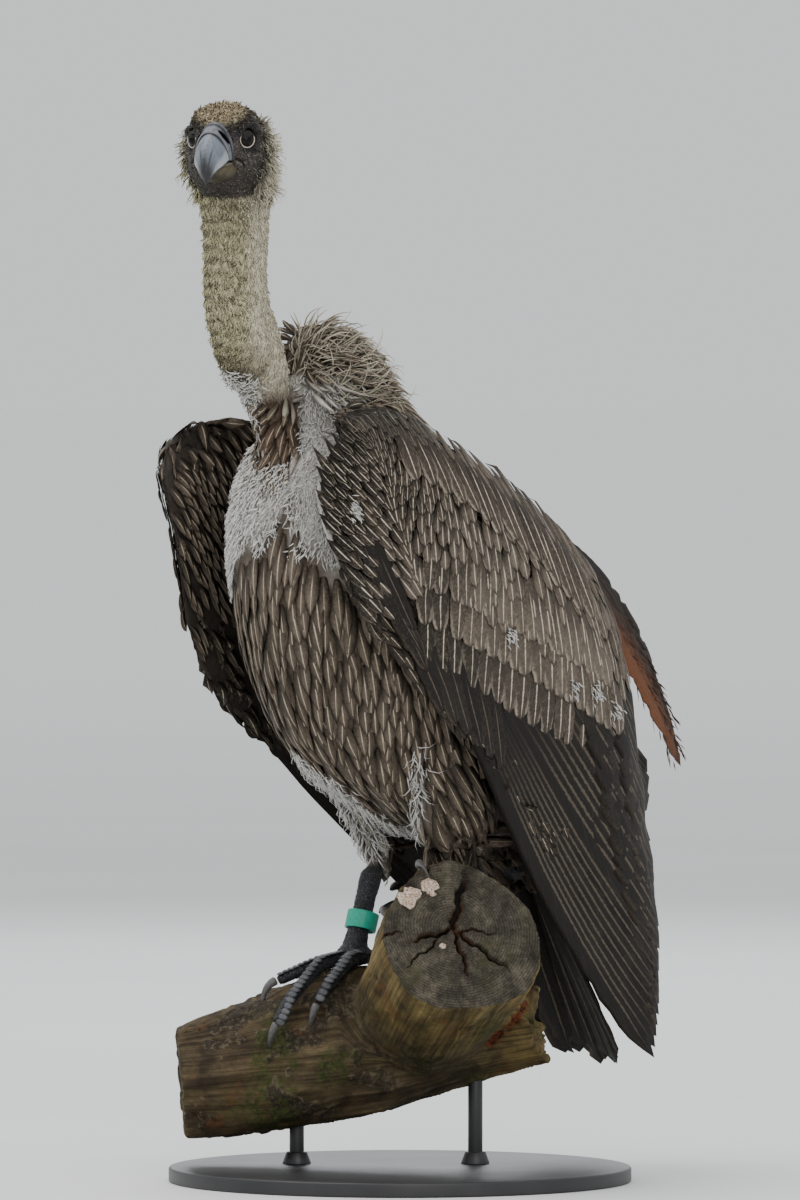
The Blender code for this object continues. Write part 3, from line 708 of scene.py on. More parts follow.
bpy.ops.mesh.quads_convert_to_tris()
bpy.ops.mesh.tris_convert_to_quads()
bpy.ops.object.mode_set(mode="OBJECT")

places = points_of(skin.data)
on_head = head_frame(places)
bare_leg = (places[:, 2] < KNEE_TOP + 0.012) & (np.abs(places[:, 1]) < 0.12) & (np.abs(places[:, 0]) < 0.13)
keep_fine = (places[:, 2] > 0.785) & (places[:, 1] < -0.135) | bare_leg
group = skin.vertex_groups.new(name="feathered")
group.add(np.flatnonzero(~keep_fine).tolist(), 1.0, "REPLACE")
apply_modifier(skin, "DECIMATE", ratio=0.24, vertex_group="feathered")
skin.vertex_groups.clear()
middles = face_middles(skin.data)
middles_on_head = head_frame(middles)
face_part = (middles[:, 2] > 0.78) & (middles_on_head[:, 0] > -12) & (middles_on_head[:, 2] > -44)
toes_part = (middles[:, 2] < 0.228) & (np.abs(middles[:, 0]) < 0.13) & (middles[:, 1] < 0.08)
subdivide_where(skin, face_part | toes_part)
middles = face_middles(skin.data)
middles_on_head = head_frame(middles)
round_bill = (middles_on_head[:, 0] > 3) & (middles_on_head[:, 2] > -32) & (middles_on_head[:, 2] < 22)
subdivide_where(skin, round_bill & (middles[:, 2] > 0.79))

EYE_RADIUS = 8.0  # millimetres
EYES = {name: np.array((10.6, side * 19.6, 4.8)) for name, side in SIDES}
GAZE = {name: np.array((0.74, side * 0.67, 0.0)) for name, side in SIDES}
LID_OPENING, LID_SLOPE = math.radians(49), 0.75  # from the gaze to the lids' edge, then the lids' width

places, outward = points_of(skin.data), normals_of(skin.data)
on_head = head_frame(places)
x, y, z = places.T
face = ramp_up(z, 0.775, 0.80) * ramp_up(on_head[:, 0], -14, -4)
bare_leg = ramp_up(-z, -KNEE_TOP, -KNEE_TOP + 0.012) * (np.abs(x) < 0.13) * (np.abs(y) < 0.11)
on_wing = ramp_up(np.abs(x), 0.06, 0.085) * ramp_up(z, 0.25, 0.27) * (1 - bare_leg)
neck = ramp_up(z, 0.64, 0.67) * ramp_up(-y, 0.13, 0.145)
coat_depth = 0.009 * (1 - on_wing) + 0.0075 * on_wing
coat_depth = coat_depth * (1 - neck) + 0.0026 * neck
coat_depth = coat_depth * (1 - face) * (1 - bare_leg)
flesh_tree = tree_of(skin.data)
for k in np.flatnonzero(coat_depth > 0.0025):
    inward = -Vector(outward[k])
    hit = flesh_tree.ray_cast(Vector(places[k]) + inward * 0.0005, inward, 0.03)
    if hit[0] is not None:
        coat_depth[k] = min(coat_depth[k], hit[3] * (0.42 if on_wing[k] > 0.5 else 0.35))
places = places - outward * coat_depth[:, None]

on_head = head_frame(places)
head_normal = outward @ HEAD_TURN
head_normal = np.stack([-head_normal[:, 1], head_normal[:, 0], head_normal[:, 2]], axis=1)
fine_folds = lumps(on_head * 0.001, (420, 420, 300))
netted = np.minimum(np.abs(fine_folds), np.abs(lumps(on_head * 0.001 + 7.0, (330, 330, 420))))
broad_folds = lumps(on_head * 0.001 + 4.0, (150, 150, 190))
swell = face * (0.22 * fine_folds - 0.55 * bell(netted, 0.11) + 0.4 * broad_folds)
swell += 1.5 * ramp_up(on_head[:, 2], 10, 26) * ramp_up(places[:, 2], 0.80, 0.83)  # the crown
lips, gape_shade, socket_shade = np.zeros(len(places)), np.zeros(len(places)), np.zeros(len(places))
for name, side in SIDES:
    mirrored = on_head * (1, side, 1)
    brow, _ = near_line(mirrored, (24, 13, 8.4), (20, 20, 10.8), (13, 27, 11.8), (0, 31, 10))
    swell += face * bell(brow, 3.4) * 3.4
    lore, _ = near_line(mirrored, (27, 12, 4), (20, 18, 5))
    swell -= face * bell(lore, 4.5) * 1.2
    gape, _ = near_line(mirrored, (35, 14, -9.6), (27, 18.5, -9.8), (22, 21.5, -13), (20.5, 22, -17))
    lip, _ = near_line(mirrored, (35, 14, -11.8), (27, 18, -12.2), (22.5, 20.5, -15))
    swell += face * (bell(lip, 1.2) * 0.5 - bell(gape, 1.0) * 2.2)
    lips = np.maximum(lips, bell(lip, 0.9))
    gape_shade = np.maximum(gape_shade, bell(gape, 1.3))
    for fold in range(4):
        low = 5.5 + 4.2 * fold
        bag, _ = near_line(mirrored, (20, 21, -3 - low * 0.6), (9, 30, -2 - low), (-4, 33, -2 - low * 0.7))
        swell -= face * bell(bag, 0.8) * 0.45
    away = on_head - EYES[name]
    reach = np.linalg.norm(away, axis=1)
    cosine = away @ GAZE[name] / np.maximum(reach, 1e-6) / np.linalg.norm(GAZE[name])
    polar = np.arccos(np.clip(cosine, -1, 1))
    near = reach < 17
    funnel = ramp_up(polar, LID_OPENING, LID_OPENING + LID_SLOPE)
    rim = (EYE_RADIUS + 0.5) + np.maximum(reach - EYE_RADIUS - 0.5, 0) * funnel
    beside = np.where(polar < LID_OPENING + LID_SLOPE, rim, np.maximum(reach, EYE_RADIUS + 0.6))
    wanted = np.where(polar < LID_OPENING, EYE_RADIUS - 0.9, beside)
    hold = near & (polar < LID_OPENING + 1.0)
    drawn = EYES[name] + away * (wanted / np.maximum(reach, 1e-6))[:, None]
    on_head = np.where(hold[:, None], drawn, on_head)
    swell = np.where(hold & (polar < LID_OPENING + 0.06), 0, swell)
    # where the skin funnels into each eye's socket, for painted shade there
    socket_shade = np.maximum(socket_shade, ramp_up(-polar, -LID_OPENING - 0.62, -LID_OPENING - 0.2) * near)
on_head = on_head + head_normal * swell[:, None]
places = np.where((z > 0.77)[:, None], head_world(*on_head.T), places)

neck_fold = 0.0007 * np.sin(z * 900 + 6 * lumps(places, (30, 30, 12)) + 40 * x)
neck_fold += 0.0008 * lumps(places, (220, 220, 160))
places = places + outward * (neck * (1 - face) * neck_fold)[:, None]
scale_lumps = 0.0005 * lumps(places, (520, 520, 520)) + 0.0004 * lumps(places + 1.7, (900, 900, 900))
places = places + outward * (bare_leg * scale_lumps)[:, None]
set_points(skin.data, places)
bpy.context.view_layer.objects.active = skin
skin.data.shade_smooth()


def markings(points):
    """The plumage's colour at world places, for the skin and for each feather's root, with painted shade
    under the bill and over each eye.
    """
    x, y, z = points.T
    head = head_frame(points)
    smooth = lumps(points, (9, 9, 9))[:, None]
    patchy = lumps(points + 2.7, (28, 28, 28))[:, None]

    def lay(tint, colour, mask):
        return tint * (1 - mask[:, None]) + np.array(colour) * mask[:, None]

    tint = np.array((0.108, 0.083, 0.062)) * (1 + 0.22 * smooth + 0.12 * patchy)
    tint = lay(tint, (0.070, 0.050, 0.036), ramp_up(-z, -0.40, -0.27) * ramp_up(y, -0.05, 0.08))
    back = ramp_up(y, 0.0, 0.10) * ramp_up(z, 0.34, 0.42)
    tint = lay(tint, (0.136, 0.107, 0.083), back)
    rump = ramp_up(y, 0.06, 0.12) * ramp_up(-np.abs(x), -0.07, -0.045)
    rump *= ramp_up(-z, -0.47, -0.42) * ramp_up(z, 0.29, 0.33)
    tint = lay(tint, (0.46, 0.43, 0.38), rump)
    white = (
        ramp_up(-y, 0.085, 0.115)
        * ramp_up(-np.abs(x - 0.012), -0.082, -0.064)
        * ramp_up(z + 9 * (x - 0.012) ** 2, 0.522, 0.548)
        * ramp_up(-z, -0.668, -0.650)
        * (1 - ramp_up(x, 0.045, 0.058) * ramp_up(z, 0.60, 0.625))
    )
    off_notch = np.abs(x - 0.026)
    notch = ramp_up(-off_notch, -0.020, -0.010) * ramp_up(-z - 4 * off_notch, -0.580, -0.560)
    white = white * (1 - notch)
    tint = lay(tint, (0.80, 0.78, 0.72), white)
    aslant = (x + y) * 0.7071
    crop = ramp_up(aslant, -0.117, -0.109) * ramp_up(-aslant, 0.076, 0.083) * ramp_up(z, 0.586, 0.600)
    crop *= ramp_up(-z, -0.665, -0.640) * ramp_up(-y, 0.09, 0.12)
    tint = lay(tint, (0.105, 0.068, 0.045), crop)
    ruffed = ramp_up(z, 0.600, 0.625) * ramp_up(y, -0.118, -0.102) * ramp_up(-np.abs(x), -0.075, -0.06)
    tint = lay(tint, (0.185, 0.142, 0.104), ruffed)
    tint = lay(tint, (0.040, 0.031, 0.024), ramp_up(np.abs(x), 0.082, 0.092) * ramp_up(-z, -0.64, -0.62))
    thigh = ramp_up(-z, -0.362, -0.335) * ramp_up(z, 0.24, 0.26)
    inner_right = thigh * ramp_up(x, -0.085, -0.065) * ramp_up(-x, 0.005, 0.02) * ramp_up(-y, -0.03, 0.0)
    tint = lay(tint, (0.66, 0.63, 0.56), inner_right)
    fringe = thigh * ramp_up(aslant, 0.003, 0.008) * ramp_up(-aslant, -0.021, -0.016) * (x > 0.015)
    tint = lay(tint, (0.62, 0.59, 0.52), fringe)
    neck = ramp_up(z, 0.640, 0.665) * ramp_up(-y, 0.128, 0.142)
    olive = (0.50 + 0.09 * patchy) * np.array((1.0, 0.93, 0.60))
    tint = tint * (1 - neck[:, None]) + olive * neck[:, None]
    nape = neck * ramp_up(y + 0.188 + 0.6 * x, -0.004, 0.016)
    tint = lay(tint, (0.74, 0.69, 0.53), nape)
    low_front = neck * ramp_up(-z, -0.70, -0.655) * ramp_up(-y, 0.165, 0.18)
    tint = lay(tint, (0.15, 0.115, 0.075), low_front * 0.8)
    crown = ramp_up(z, 0.80, 0.83) * ramp_up(head[:, 2] + 0.35 * head[:, 0] + 1.5 * patchy[:, 0], 25.5, 30.5)
    tint = lay(tint, (0.42, 0.345, 0.22), crown)
    mask = ramp_up(head[:, 0] + 0.12 * head[:, 2], -9, -3) * (1 - crown) * ramp_up(z, 0.79, 0.803)
    mask *= ramp_up(head[:, 2] + 0.2 * head[:, 0], -47, -37)
    tint = lay(tint, (0.062, 0.051, 0.044), mask)
    # painted shadow under the bill: chin and throat darkened nearly black
    chin_shadow = mask * ramp_up(-head[:, 2] - 0.25 * head[:, 0], 8, 20)
    tint = lay(tint, (0.026, 0.021, 0.014), chin_shadow)
    # painted shade below the overhanging brow: a near-black patch over each eye
    for eye in EYES.values():
        off = np.linalg.norm((head - (eye + (0, 0, 5.0))) * (0.7, 1.0, 1.0), axis=1)
        brow = ramp_up(-off, -15.5, -10.5) * ramp_up(head[:, 2] - eye[2], -3, 3) * mask
        tint = lay(tint, (0.011, 0.009, 0.009), brow)
    leg = ramp_up(-z, -KNEE_TOP, -KNEE_TOP + 0.008) * (np.abs(x) < 0.13) * (np.abs(y) < 0.11)
    return lay(tint, (0.040, 0.041, 0.048), leg)


tints = markings(places)
# painted shade in each eye's socket and in the gape's crease, then the pale lip line
for mask, colour in (
    (socket_shade, (0.014, 0.012, 0.012)),
    (gape_shade * face, (0.008, 0.007, 0.007)),
    (lips * face, (0.22, 0.19, 0.15)),
):
    tints = tints * (1 - mask[:, None] * 0.9) + np.array(colour) * mask[:, None] * 0.9
store(skin.data, "tint", np.hstack([tints, np.ones((len(tints), 1))]), "FLOAT_COLOR")
store(skin.data, "face", face)
store(skin.data, "leg", bare_leg)
store(skin.data, "neck", neck * (1 - face))

hide = Finish("vulture_skin", Specular_IOR_Level=0.4)
place = hide.where()
face_mask, leg_mask, neck_mask = (hide.attribute(name) for name in ("face", "leg", "neck"))
pores = hide.noise(place, 620, 4, 0.65)
blotches = hide.noise(place, 130, 4, 0.6)
plate = hide.cells(place, 420, "DISTANCE_TO_EDGE")
plate_gap = hide.rise(plate, 0.16, 0.03)
skin_tint = hide.attribute("tint", "Color")
mottled = hide.ramp(blotches, (0.3, grey(0.55)), (0.7, grey(1.25)))
skin_tint = hide.mix(1.0, skin_tint, mottled, "MULTIPLY")
folds = abs(hide.noise(place, 330, 3, 0.6) - 0.5)
wrinkles = hide.rise(folds, 0.032, 0.006) * face_mask
# painted shade in the face's wrinkles
skin_tint = hide.mix(wrinkles * 0.75, skin_tint, (0.006, 0.005, 0.005))
mauve = hide.rise(hide.noise(place, 60, 3), 0.52, 0.66) * face_mask * 0.28
skin_tint = hide.mix(mauve, skin_tint, (0.105, 0.066, 0.078))
pale_lines = hide.rise(hide.noise(place, 430, 5, 0.8), 0.55, 0.64) * face_mask * 0.85
skin_tint = hide.mix(pale_lines, skin_tint, hide.mix(0.30, skin_tint, (0.62, 0.58, 0.50)))
skin_tint = hide.mix(plate_gap * leg_mask * 0.75, skin_tint, (0.008, 0.008, 0.009))
wool = hide.rise(hide.noise(place, 700, 3, 0.8), 0.45, 0.62) * neck_mask * 0.45
skin_tint = hide.mix(wool, skin_tint, (0.16, 0.15, 0.07))
creasing = hide.noise(place, 280, 4, 0.7) * face_mask * 1.2
relief = pores * (1 - leg_mask) + creasing - wrinkles * 1.2 + (1 - plate_gap) * leg_mask * 0.9
hide.paint(
    Base_Color=skin_tint,
    Roughness=0.74 - leg_mask * 0.22 - face_mask * 0.10,
    Normal=hide.bump(relief, 0.0014, 0.9),
)
finish_piece(skin, "skin", hide.material, FLESH)

# ------------------------ Eyes: dark balls in lined lids
# Glassy eyeballs with a nearly black iris and pupil, set deep under the brow.  A thin pale rim of
# bare skin runs round the lids' edge, lost in shade at the top.

EYE_BALL = 0.0074
RIM_FROM_MIDDLE, RIM_THICK = 0.0083, 0.00052
rim_turn = LID_OPENING + 0.01
rim_radius = RIM_FROM_MIDDLE * math.sin(rim_turn)

wet = Finish("eye", Roughness=0.14, Specular_IOR_Level=0.08, Coat_Roughness=0.03)
threads = wet.noise(wet.where(), 900, 3)
iris = wet.ramp(threads, (0.3, (0.009, 0.005, 0.003)), (0.7, (0.026, 0.014, 0.008)))
pupil_mask = wet.rise(wet.attribute("off_gaze"), 0.58, 0.50)
wet.paint(Base_Color=wet.mix(pupil_mask, iris, grey(0.002)), Coat_Weight=0.15 + threads * 0.06)
rim_skin = Finish("lid_rim", Roughness=0.55)
grain = rim_skin.noise(rim_skin.where(), 1500, 3)
pale = rim_skin.ramp(grain, (0.3, (0.34, 0.32, 0.27)), (0.7, (0.56, 0.53, 0.45)))
rim_skin.paint(
    Base_Color=rim_skin.mix(rim_skin.attribute("pale"), (0.012, 0.011, 0.011), pale),
    Normal=rim_skin.bump(grain, 0.0002, 0.6),
)
for name, side in SIDES:
    gaze = Vector(HEAD_TURN @ (GAZE[name][1], -GAZE[name][0], GAZE[name][2])).normalized()
    middle = Vector(head_world(*EYES[name]))
    turned = Matrix.Translation(middle) @ gaze.to_track_quat("Z", "Y").to_matrix().to_4x4()
    bpy.ops.object.select_all(action="DESELECT")
    bpy.ops.mesh.primitive_uv_sphere_add(segments=40, ring_count=24, radius=EYE_BALL)
    eye = bpy.context.object
    points = points_of(eye.data)
    off_gaze = np.arccos(np.clip(points[:, 2] / EYE_BALL, -1, 1))
    store(eye.data, "off_gaze", off_gaze)
    set_points(eye.data, points * (1 + 0.07 * bell(off_gaze, 0.55))[:, None])  # the cornea's swell
    eye.data.transform(turned)
    eye.data.shade_smooth()
    finish_piece(eye, f"eye_{name}", wet.material, (f"eye_{name}",))

    bpy.ops.mesh.primitive_torus_add(
        major_segments=56, minor_segments=10, major_radius=rim_radius, minor_radius=RIM_THICK
    )
    rim = bpy.context.object
    points = points_of(rim.data)
    points[:, 2] += RIM_FROM_MIDDLE * math.cos(rim_turn)
    set_points(rim.data, points)
    rim.data.transform(turned)
    height = (points_of(rim.data)[:, 2] - middle[2]) / rim_radius
    # pale below, painted dark at the top as the shade under the brow
    store(rim.data, "pale", 1 - ramp_up(height, 0.05, 0.55))
    rim.data.shade_smooth()
    finish_piece(rim, f"lid_rim_{name}", rim_skin.material)

# ------------------------ Bill: cere and two horn sheaths
# A smooth grey cere with slit nostrils saddles the root of a deep hooked bill.  The upper sheath's
# sharp edge overlaps the lower one, and its hook ends well below it.


def lofted(rings):
    """A closed body: a filled circle extruded ring by ring, each ring then brought to its shape."""
    rings = np.array(rings)
    count = rings.shape[1]
    bpy.ops.object.select_all(action="DESELECT")
    bpy.ops.mesh.primitive_circle_add(vertices=count, radius=1, fill_type="NGON")
    piece = bpy.context.object
    bpy.ops.object.mode_set(mode="EDIT")
    for _ in range(len(rings) - 1):
        bpy.ops.mesh.extrude_region_move(TRANSFORM_OT_translate={"value": (0, 0, 1)})
    bpy.ops.object.mode_set(mode="OBJECT")
    raw = points_of(piece.data)
    level = np.rint(raw[:, 2]).astype(int)
    turn = np.rint(np.arctan2(raw[:, 1], raw[:, 0]) / (2 * math.pi) * count).astype(int) % count
    set_points(piece.data, rings[level, turn])
    bpy.ops.object.mode_set(mode="EDIT")
    bpy.ops.mesh.select_all(action="SELECT")
    bpy.ops.mesh.normals_make_consistent(inside=False)
    bpy.ops.object.mode_set(mode="OBJECT")
    piece.data.shade_smooth()
    return piece, level, turn


def eased(share, rows):
    """Rows of a table read off at shares of its length, by a smooth curve through them."""
    rows = np.array(rows, float)
    at = np.clip(share, 0, 1) * (len(rows) - 1)
    k = np.minimum(at.astype(int), len(rows) - 2)
    f = (at - k)[..., None]
    before, after = rows[np.maximum(k - 1, 0)], rows[np.minimum(k + 2, len(rows) - 1)]
    a, b = rows[k], rows[k + 1]
    cubed = 3 * (a - b) + after - before
    return a + f * 0.5 * (b - before + f * (2 * before - 5 * a + 4 * b - after + f * cubed))


def arch(top, edge, count, roof=0.80, floor=0.2):
    """A bill's section: an arch from edge to edge over a shallow hollow.  Edge is ahead, half, up."""
    turn = np.arange(count) / count * 2 * math.pi
    side, rise = np.sin(turn), np.cos(turn)
    over = rise > 0
    share = np.where(over, (1 - np.abs(rise)) ** roof, 1 - floor * np.abs(rise))
    left = edge[1] * np.sign(side) * np.abs(side) ** np.where(over, 0.9, 1.0)
    ahead, up = (top[k] * (1 - share) + edge[2 * k] * share for k in (0, 1))
    return np.stack([ahead, left, up], axis=1)


CULMEN = (
    (33, 13.5), (39, 13.4), (45, 12.0), (50.5, 8.4), (55, 2.6), (58.4, -5), (60.3, -13.5), (60.2, -20.5),
    (58.6, -27.2),
)  # fmt: skip
TOMIUM = (
    (28, 13.2, -8.6), (33, 13.4, -9.4), (38, 13.6, -10.0), (43, 13.2, -11.2), (47.5, 11.6, -13.2),
    (51.5, 8.6, -15.8), (54.6, 5.6, -19.2), (56.4, 2.9, -23.4), (58.2, 0.5, -27.4),
)  # fmt: skip
shares = np.linspace(0, 1, 76)
tops, edges = eased(shares, CULMEN), eased(shares, TOMIUM)
edges[:, 1] = np.maximum(edges[:, 1], 0.35)
rings = [head_world(*arch(top, edge, 72).T) for top, edge in zip(tops, edges)]
upper, level, turn = lofted(rings)
along = shares[level]
store(upper.data, "along", along)
store(upper.data, "across", np.abs(np.sin(turn / 72 * 2 * math.pi)))
points, outward = points_of(upper.data), normals_of(upper.data)
wear = 0.00012 * lumps(points, (300, 300, 120))
wear += 0.00010 * np.sin(along * 90 + 4 * lumps(points, (90, 90, 90)))
set_points(upper.data, points + outward * (wear * ramp_up(along, 0.1, 0.3))[:, None])

horn = Finish("bill_horn", Specular_IOR_Level=0.45)
place = horn.where()
along_bill, across_bill = horn.attribute("along"), horn.attribute("across")
stains = horn.noise(horn.stretched(place, (260, 260, 90)), 1, 4, 0.6)
scuffs = horn.noise(place, 1400, 4, 0.7)
bluish = horn.ramp(
    stains, (0.30, (0.110, 0.128, 0.158)), (0.55, (0.165, 0.188, 0.222)), (0.75, (0.245, 0.265, 0.290))
)
horn_tint = horn.mix(horn.rise(across_bill, 0.82, 1.0) * 0.7, bluish, (0.42, 0.44, 0.45))
dark_share = horn.rise(along_bill + across_bill * -0.12 + stains * 0.22, 0.56, 0.86)
horn_tint = horn.mix(dark_share, horn_tint, (0.016, 0.016, 0.018))
# painted shade: a dark line along the groove beside the culmen
groove = horn.rise(abs(across_bill - 0.40), 0.10, 0.02) * horn.rise(along_bill, 0.42, 0.60) * 0.75
horn_tint = horn.mix(groove, horn_tint, (0.010, 0.011, 0.014))
horn_tint = horn.mix(horn.rise(scuffs, 0.62, 0.75) * 0.25, horn_tint, (0.50, 0.51, 0.50))
horn.paint(
    Base_Color=horn_tint,
    Roughness=0.30 + scuffs * 0.22,
    Normal=horn.bump(scuffs + stains * 0.6, 0.0003, 0.5),
)
finish_piece(upper, "bill_upper", horn.material, ("bill_upper",))

LOWER_TOP = ((14, -11.5), (22, -11.0), (30, -10.8), (37, -11.8), (44, -13.8), (50.5, -16.5))
LOWER_EDGE = (
    (14, 16.5, -27.5), (22, 17.0, -28.5), (30, 15.0, -28.6), (37, 11.8, -27.2), (44, 7.6, -24.6),
    (50, 2.8, -19.6),
)  # fmt: skip
shares = np.linspace(0, 1, 40)
rings = []
angle = np.arange(56) / 56 * 2 * math.pi
sine, cosine = np.sin(angle), np.cos(angle)
drop = np.where(cosine > 0, 0.22 * (1 - np.abs(cosine)), 0.22 + 0.78 * np.abs(cosine) ** 0.8)
for top, edge in zip(eased(shares, LOWER_TOP), eased(shares, LOWER_EDGE)):
    left = edge[1] * np.sign(sine) * np.abs(sine) ** 0.75
    rings.append(head_world(top[0] - 1.5 * np.abs(cosine), left, top[1] - (top[1] - edge[2]) * drop))
lower, level, turn = lofted(rings)
store(lower.data, "along", shares[level])
store(lower.data, "across", 0.5 - 0.5 * np.cos(turn / 56 * 2 * math.pi))
under = Finish("lower_horn", Specular_IOR_Level=0.4)
place = under.where()
mottle = under.noise(place, 240, 4, 0.6)
specks = under.noise(place, 1300, 3, 0.7)
olive = under.ramp(
    mottle, (0.3, (0.040, 0.033, 0.016)), (0.55, (0.078, 0.064, 0.030)), (0.75, (0.13, 0.115, 0.07))
)
pale_edge = under.rise(abs(under.attribute("across") - 0.24), 0.16, 0.04) * 0.75
olive = under.mix(pale_edge, olive, (0.30, 0.29, 0.25))
shadow = under.rise(under.attribute("across"), 0.55, 0.9) * 0.8
under.paint(
    Base_Color=under.mix(shadow, olive, (0.020, 0.016, 0.010)),
    Roughness=0.42 + specks * 0.2,
    Normal=under.bump(specks + mottle, 0.0004, 0.5),
)
finish_piece(lower, "bill_lower", under.material, ("bill_lower",))

CERE_TOP = ((19, 20.5), (24, 20.6), (29, 20.0), (34, 18.6), (39, 16.6), (43, 14.6), (45, 12.6))
CERE_EDGE = (
    (20, 16.4, -8.2), (24, 16.2, -8.8), (28, 15.8, -9.4), (31.5, 15.3, -9.8), (34, 14.9, -10.0),
    (35.5, 14.4, -10.1), (36, 13.4, -10.1),
)  # fmt: skip
NOSTRIL = ((38.6, 6.6, 14.6), (37.0, 10.6, 10.0), (34.6, 14.6, 3.4))  # down the left slit
shares = np.linspace(0, 1, 44)
rings = [
    head_world(*arch(top, edge, 112, 0.95, 0.1).T)
    for top, edge in zip(eased(shares, CERE_TOP), eased(shares, CERE_EDGE))
]
cere, level, turn = lofted(rings)
along = shares[level]
points, outward = points_of(cere.data), normals_of(cere.data)
on_head = head_frame(points)
nostrils = np.zeros(len(points))
for name, side in SIDES:
    slit, reach = near_line(on_head * (1, side, 1), *NOSTRIL)
    lens = 0.8 + 2.1 * np.sin(np.clip(reach, 0, 1) * math.pi) ** 0.8
    nostrils = np.maximum(nostrils, 1 - ramp_up(slit, lens * 0.65, lens * 1.25))
ridges = 0.35 * np.cos((along - 0.22) * 4 * math.pi)
ridges *= ramp_up(along, 0.05, 0.2) * (1 - ramp_up(along, 0.8, 0.95))
lift = 0.0004 * ridges + 0.00018 * lumps(points, (400, 400, 400)) - 0.0034 * nostrils
set_points(cere.data, points + outward * lift[:, None])
store(cere.data, "nostril", nostrils)
store(cere.data, "fold", ramp_up(-ridges, 0.10, 0.34) * (1 - nostrils))
store(cere.data, "along", along)
wax = Finish("cere", Specular_IOR_Level=0.42)
place = wax.where()
veins = wax.noise(place, 320, 4, 0.6)
pits = wax.noise(place, 1500, 3, 0.7)
slate = wax.ramp(veins, (0.3, (0.085, 0.092, 0.108)), (0.6, (0.155, 0.168, 0.190)), (0.8, (0.24, 0.25, 0.26)))
# painted shade in the folds between the ridges and along the cere's front and back edges, where it meets bill
# and face
slate = wax.mix(wax.attribute("fold") * 0.92, slate, (0.012, 0.012, 0.014))
slate = wax.mix(wax.rise(wax.attribute("along"), 0.88, 0.96), slate, (0.010, 0.010, 0.012))
slate = wax.mix(wax.rise(wax.attribute("along"), 0.22, 0.05), slate, (0.016, 0.015, 0.016))
# the slits painted near black, as shade in the nostrils
wax.paint(
    Base_Color=wax.mix(wax.attribute("nostril"), slate, grey(0.002)),
    Roughness=0.42 + pits * 0.2 + wax.attribute("nostril") * 0.5,
    Normal=wax.bump(pits + veins * 0.5, 0.0004, 0.5),
)
finish_piece(cere, "cere", wax.material, ("cere",))

# a black insert without gloss deep in each nostril: painted shade in the nostril's hole
lining = Finish("nostril_hole_shade", Specular_IOR_Level=0.0, Roughness=1.0)
depth_grain = lining.noise(lining.where(), 900, 2)
lining.paint(Base_Color=lining.ramp(depth_grain, (0.3, grey(0.002)), (0.7, (0.006, 0.005, 0.005))))
shares = np.linspace(0, 1, 13)
turn = np.arange(16) / 16 * 2 * math.pi
for name, side in SIDES:
    slit = eased(shares, NOSTRIL) * (1, side, 1)
    rings = []
    for spot, ahead, share in zip(slit, unit(np.gradient(slit, axis=0)), shares):
        aside = unit(np.cross(ahead, (0.80, side * 0.45, 0.40)))
        out = np.cross(aside, ahead)
        size = 0.25 + math.sin(share * math.pi) ** 0.8
        ring = spot - out * 0.9 + (np.cos(turn)[:, None] * aside + np.sin(turn)[:, None] * out * 0.6) * size
        rings.append(head_world(*ring.T))
    hollow, _, _ = lofted(rings)
    finish_piece(hollow, f"nostril_{name}", lining.material)

# ------------------------ Upper lids
# A fold of skin, painted near black as the shade under the brow, hangs over the top third of each
# eye, lower towards the bill, which gives the bird its stern look.  Each is a thin moulded shell,
# part of a ball just larger than the eye.

lid_shade = Finish("upper_lid", Specular_IOR_Level=0.35)
creped = lid_shade.noise(lid_shade.where(), 1100, 4, 0.7)
# painted shade: the lid near black, as the brow's shadow over the eye
lid_shade.paint(
    Base_Color=lid_shade.ramp(creped, (0.35, grey(0.004)), (0.65, (0.013, 0.011, 0.011))),
    Roughness=0.62 + creped * 0.2,
    Normal=lid_shade.bump(creped, 0.0004, 0.7),
)
opening = np.radians(np.linspace(1, 60, 14))
shells = [(8.30, polar) for polar in opening]  # outside, rim and inside: radius and angle off the axis
shells += [(8.02, math.radians(61.5))] + [(7.72, polar) for polar in opening[::-1]]
turn = np.arange(48) / 48 * 2 * math.pi
for name, side in SIDES:
    axis = unit(np.array((0.30, side * 0.02, 0.95)))
    across = unit(np.cross(axis, (1.0, 0.0, 0.0)))
    circle = np.cos(turn)[:, None] * np.cross(axis, across) + np.sin(turn)[:, None] * across
    rings = []
    for radius, polar in shells:
        ring = EYES[name] + radius * (math.cos(polar) * axis + math.sin(polar) * circle)
        rings.append(head_world(*ring.T))
    lid, _, _ = lofted(rings)
    finish_piece(lid, f"upper_lid_{name}", lid_shade.material)

# ------------------------ Contour feathers of the body
# Small overlapping vanes, each with a paler shaft and a worn pale edge.  They are rooted in the
# skin, lie along the body and bend back onto the feathers below them, on every side.

PATCH_SIZE = 0.003  # of each feather on the skin's unwrap
skin_faces = [list(p.vertices) for p in skin.data.polygons]
skin_tree = tree_of(skin.data)
choose(skin)
skin.data.uv_layers.new(name="OFBake")
bpy.ops.object.mode_set(mode="EDIT")
bpy.ops.mesh.select_all(action="SELECT")
bpy.ops.uv.smart_project(angle_limit=math.radians(66), island_margin=0.002)
bpy.ops.object.mode_set(mode="OBJECT")
unwrap = np.empty(len(skin.data.loops) * 2, np.float32)
skin.data.uv_layers["OFBake"].data.foreach_get("uv", unwrap)
first_corner = np.array([p.loop_start for p in skin.data.polygons])
corners = np.array([p.loop_total for p in skin.data.polygons])
unwrap = np.add.reduceat(unwrap.reshape(-1, 2), first_corner, axis=0) / corners[:, None]
owners = (
    tree_of_nodes("trunk", "ruff", "thigh_left", "thigh_right", "neck_lower"),
    tree_of_nodes("wing_left_arm"),
    tree_of_nodes("wing_right_arm"),
)
middles = face_middles(skin.data)
owner = np.zeros(len(middles), int)  # 0 body, 1 left wing, 2 right wing
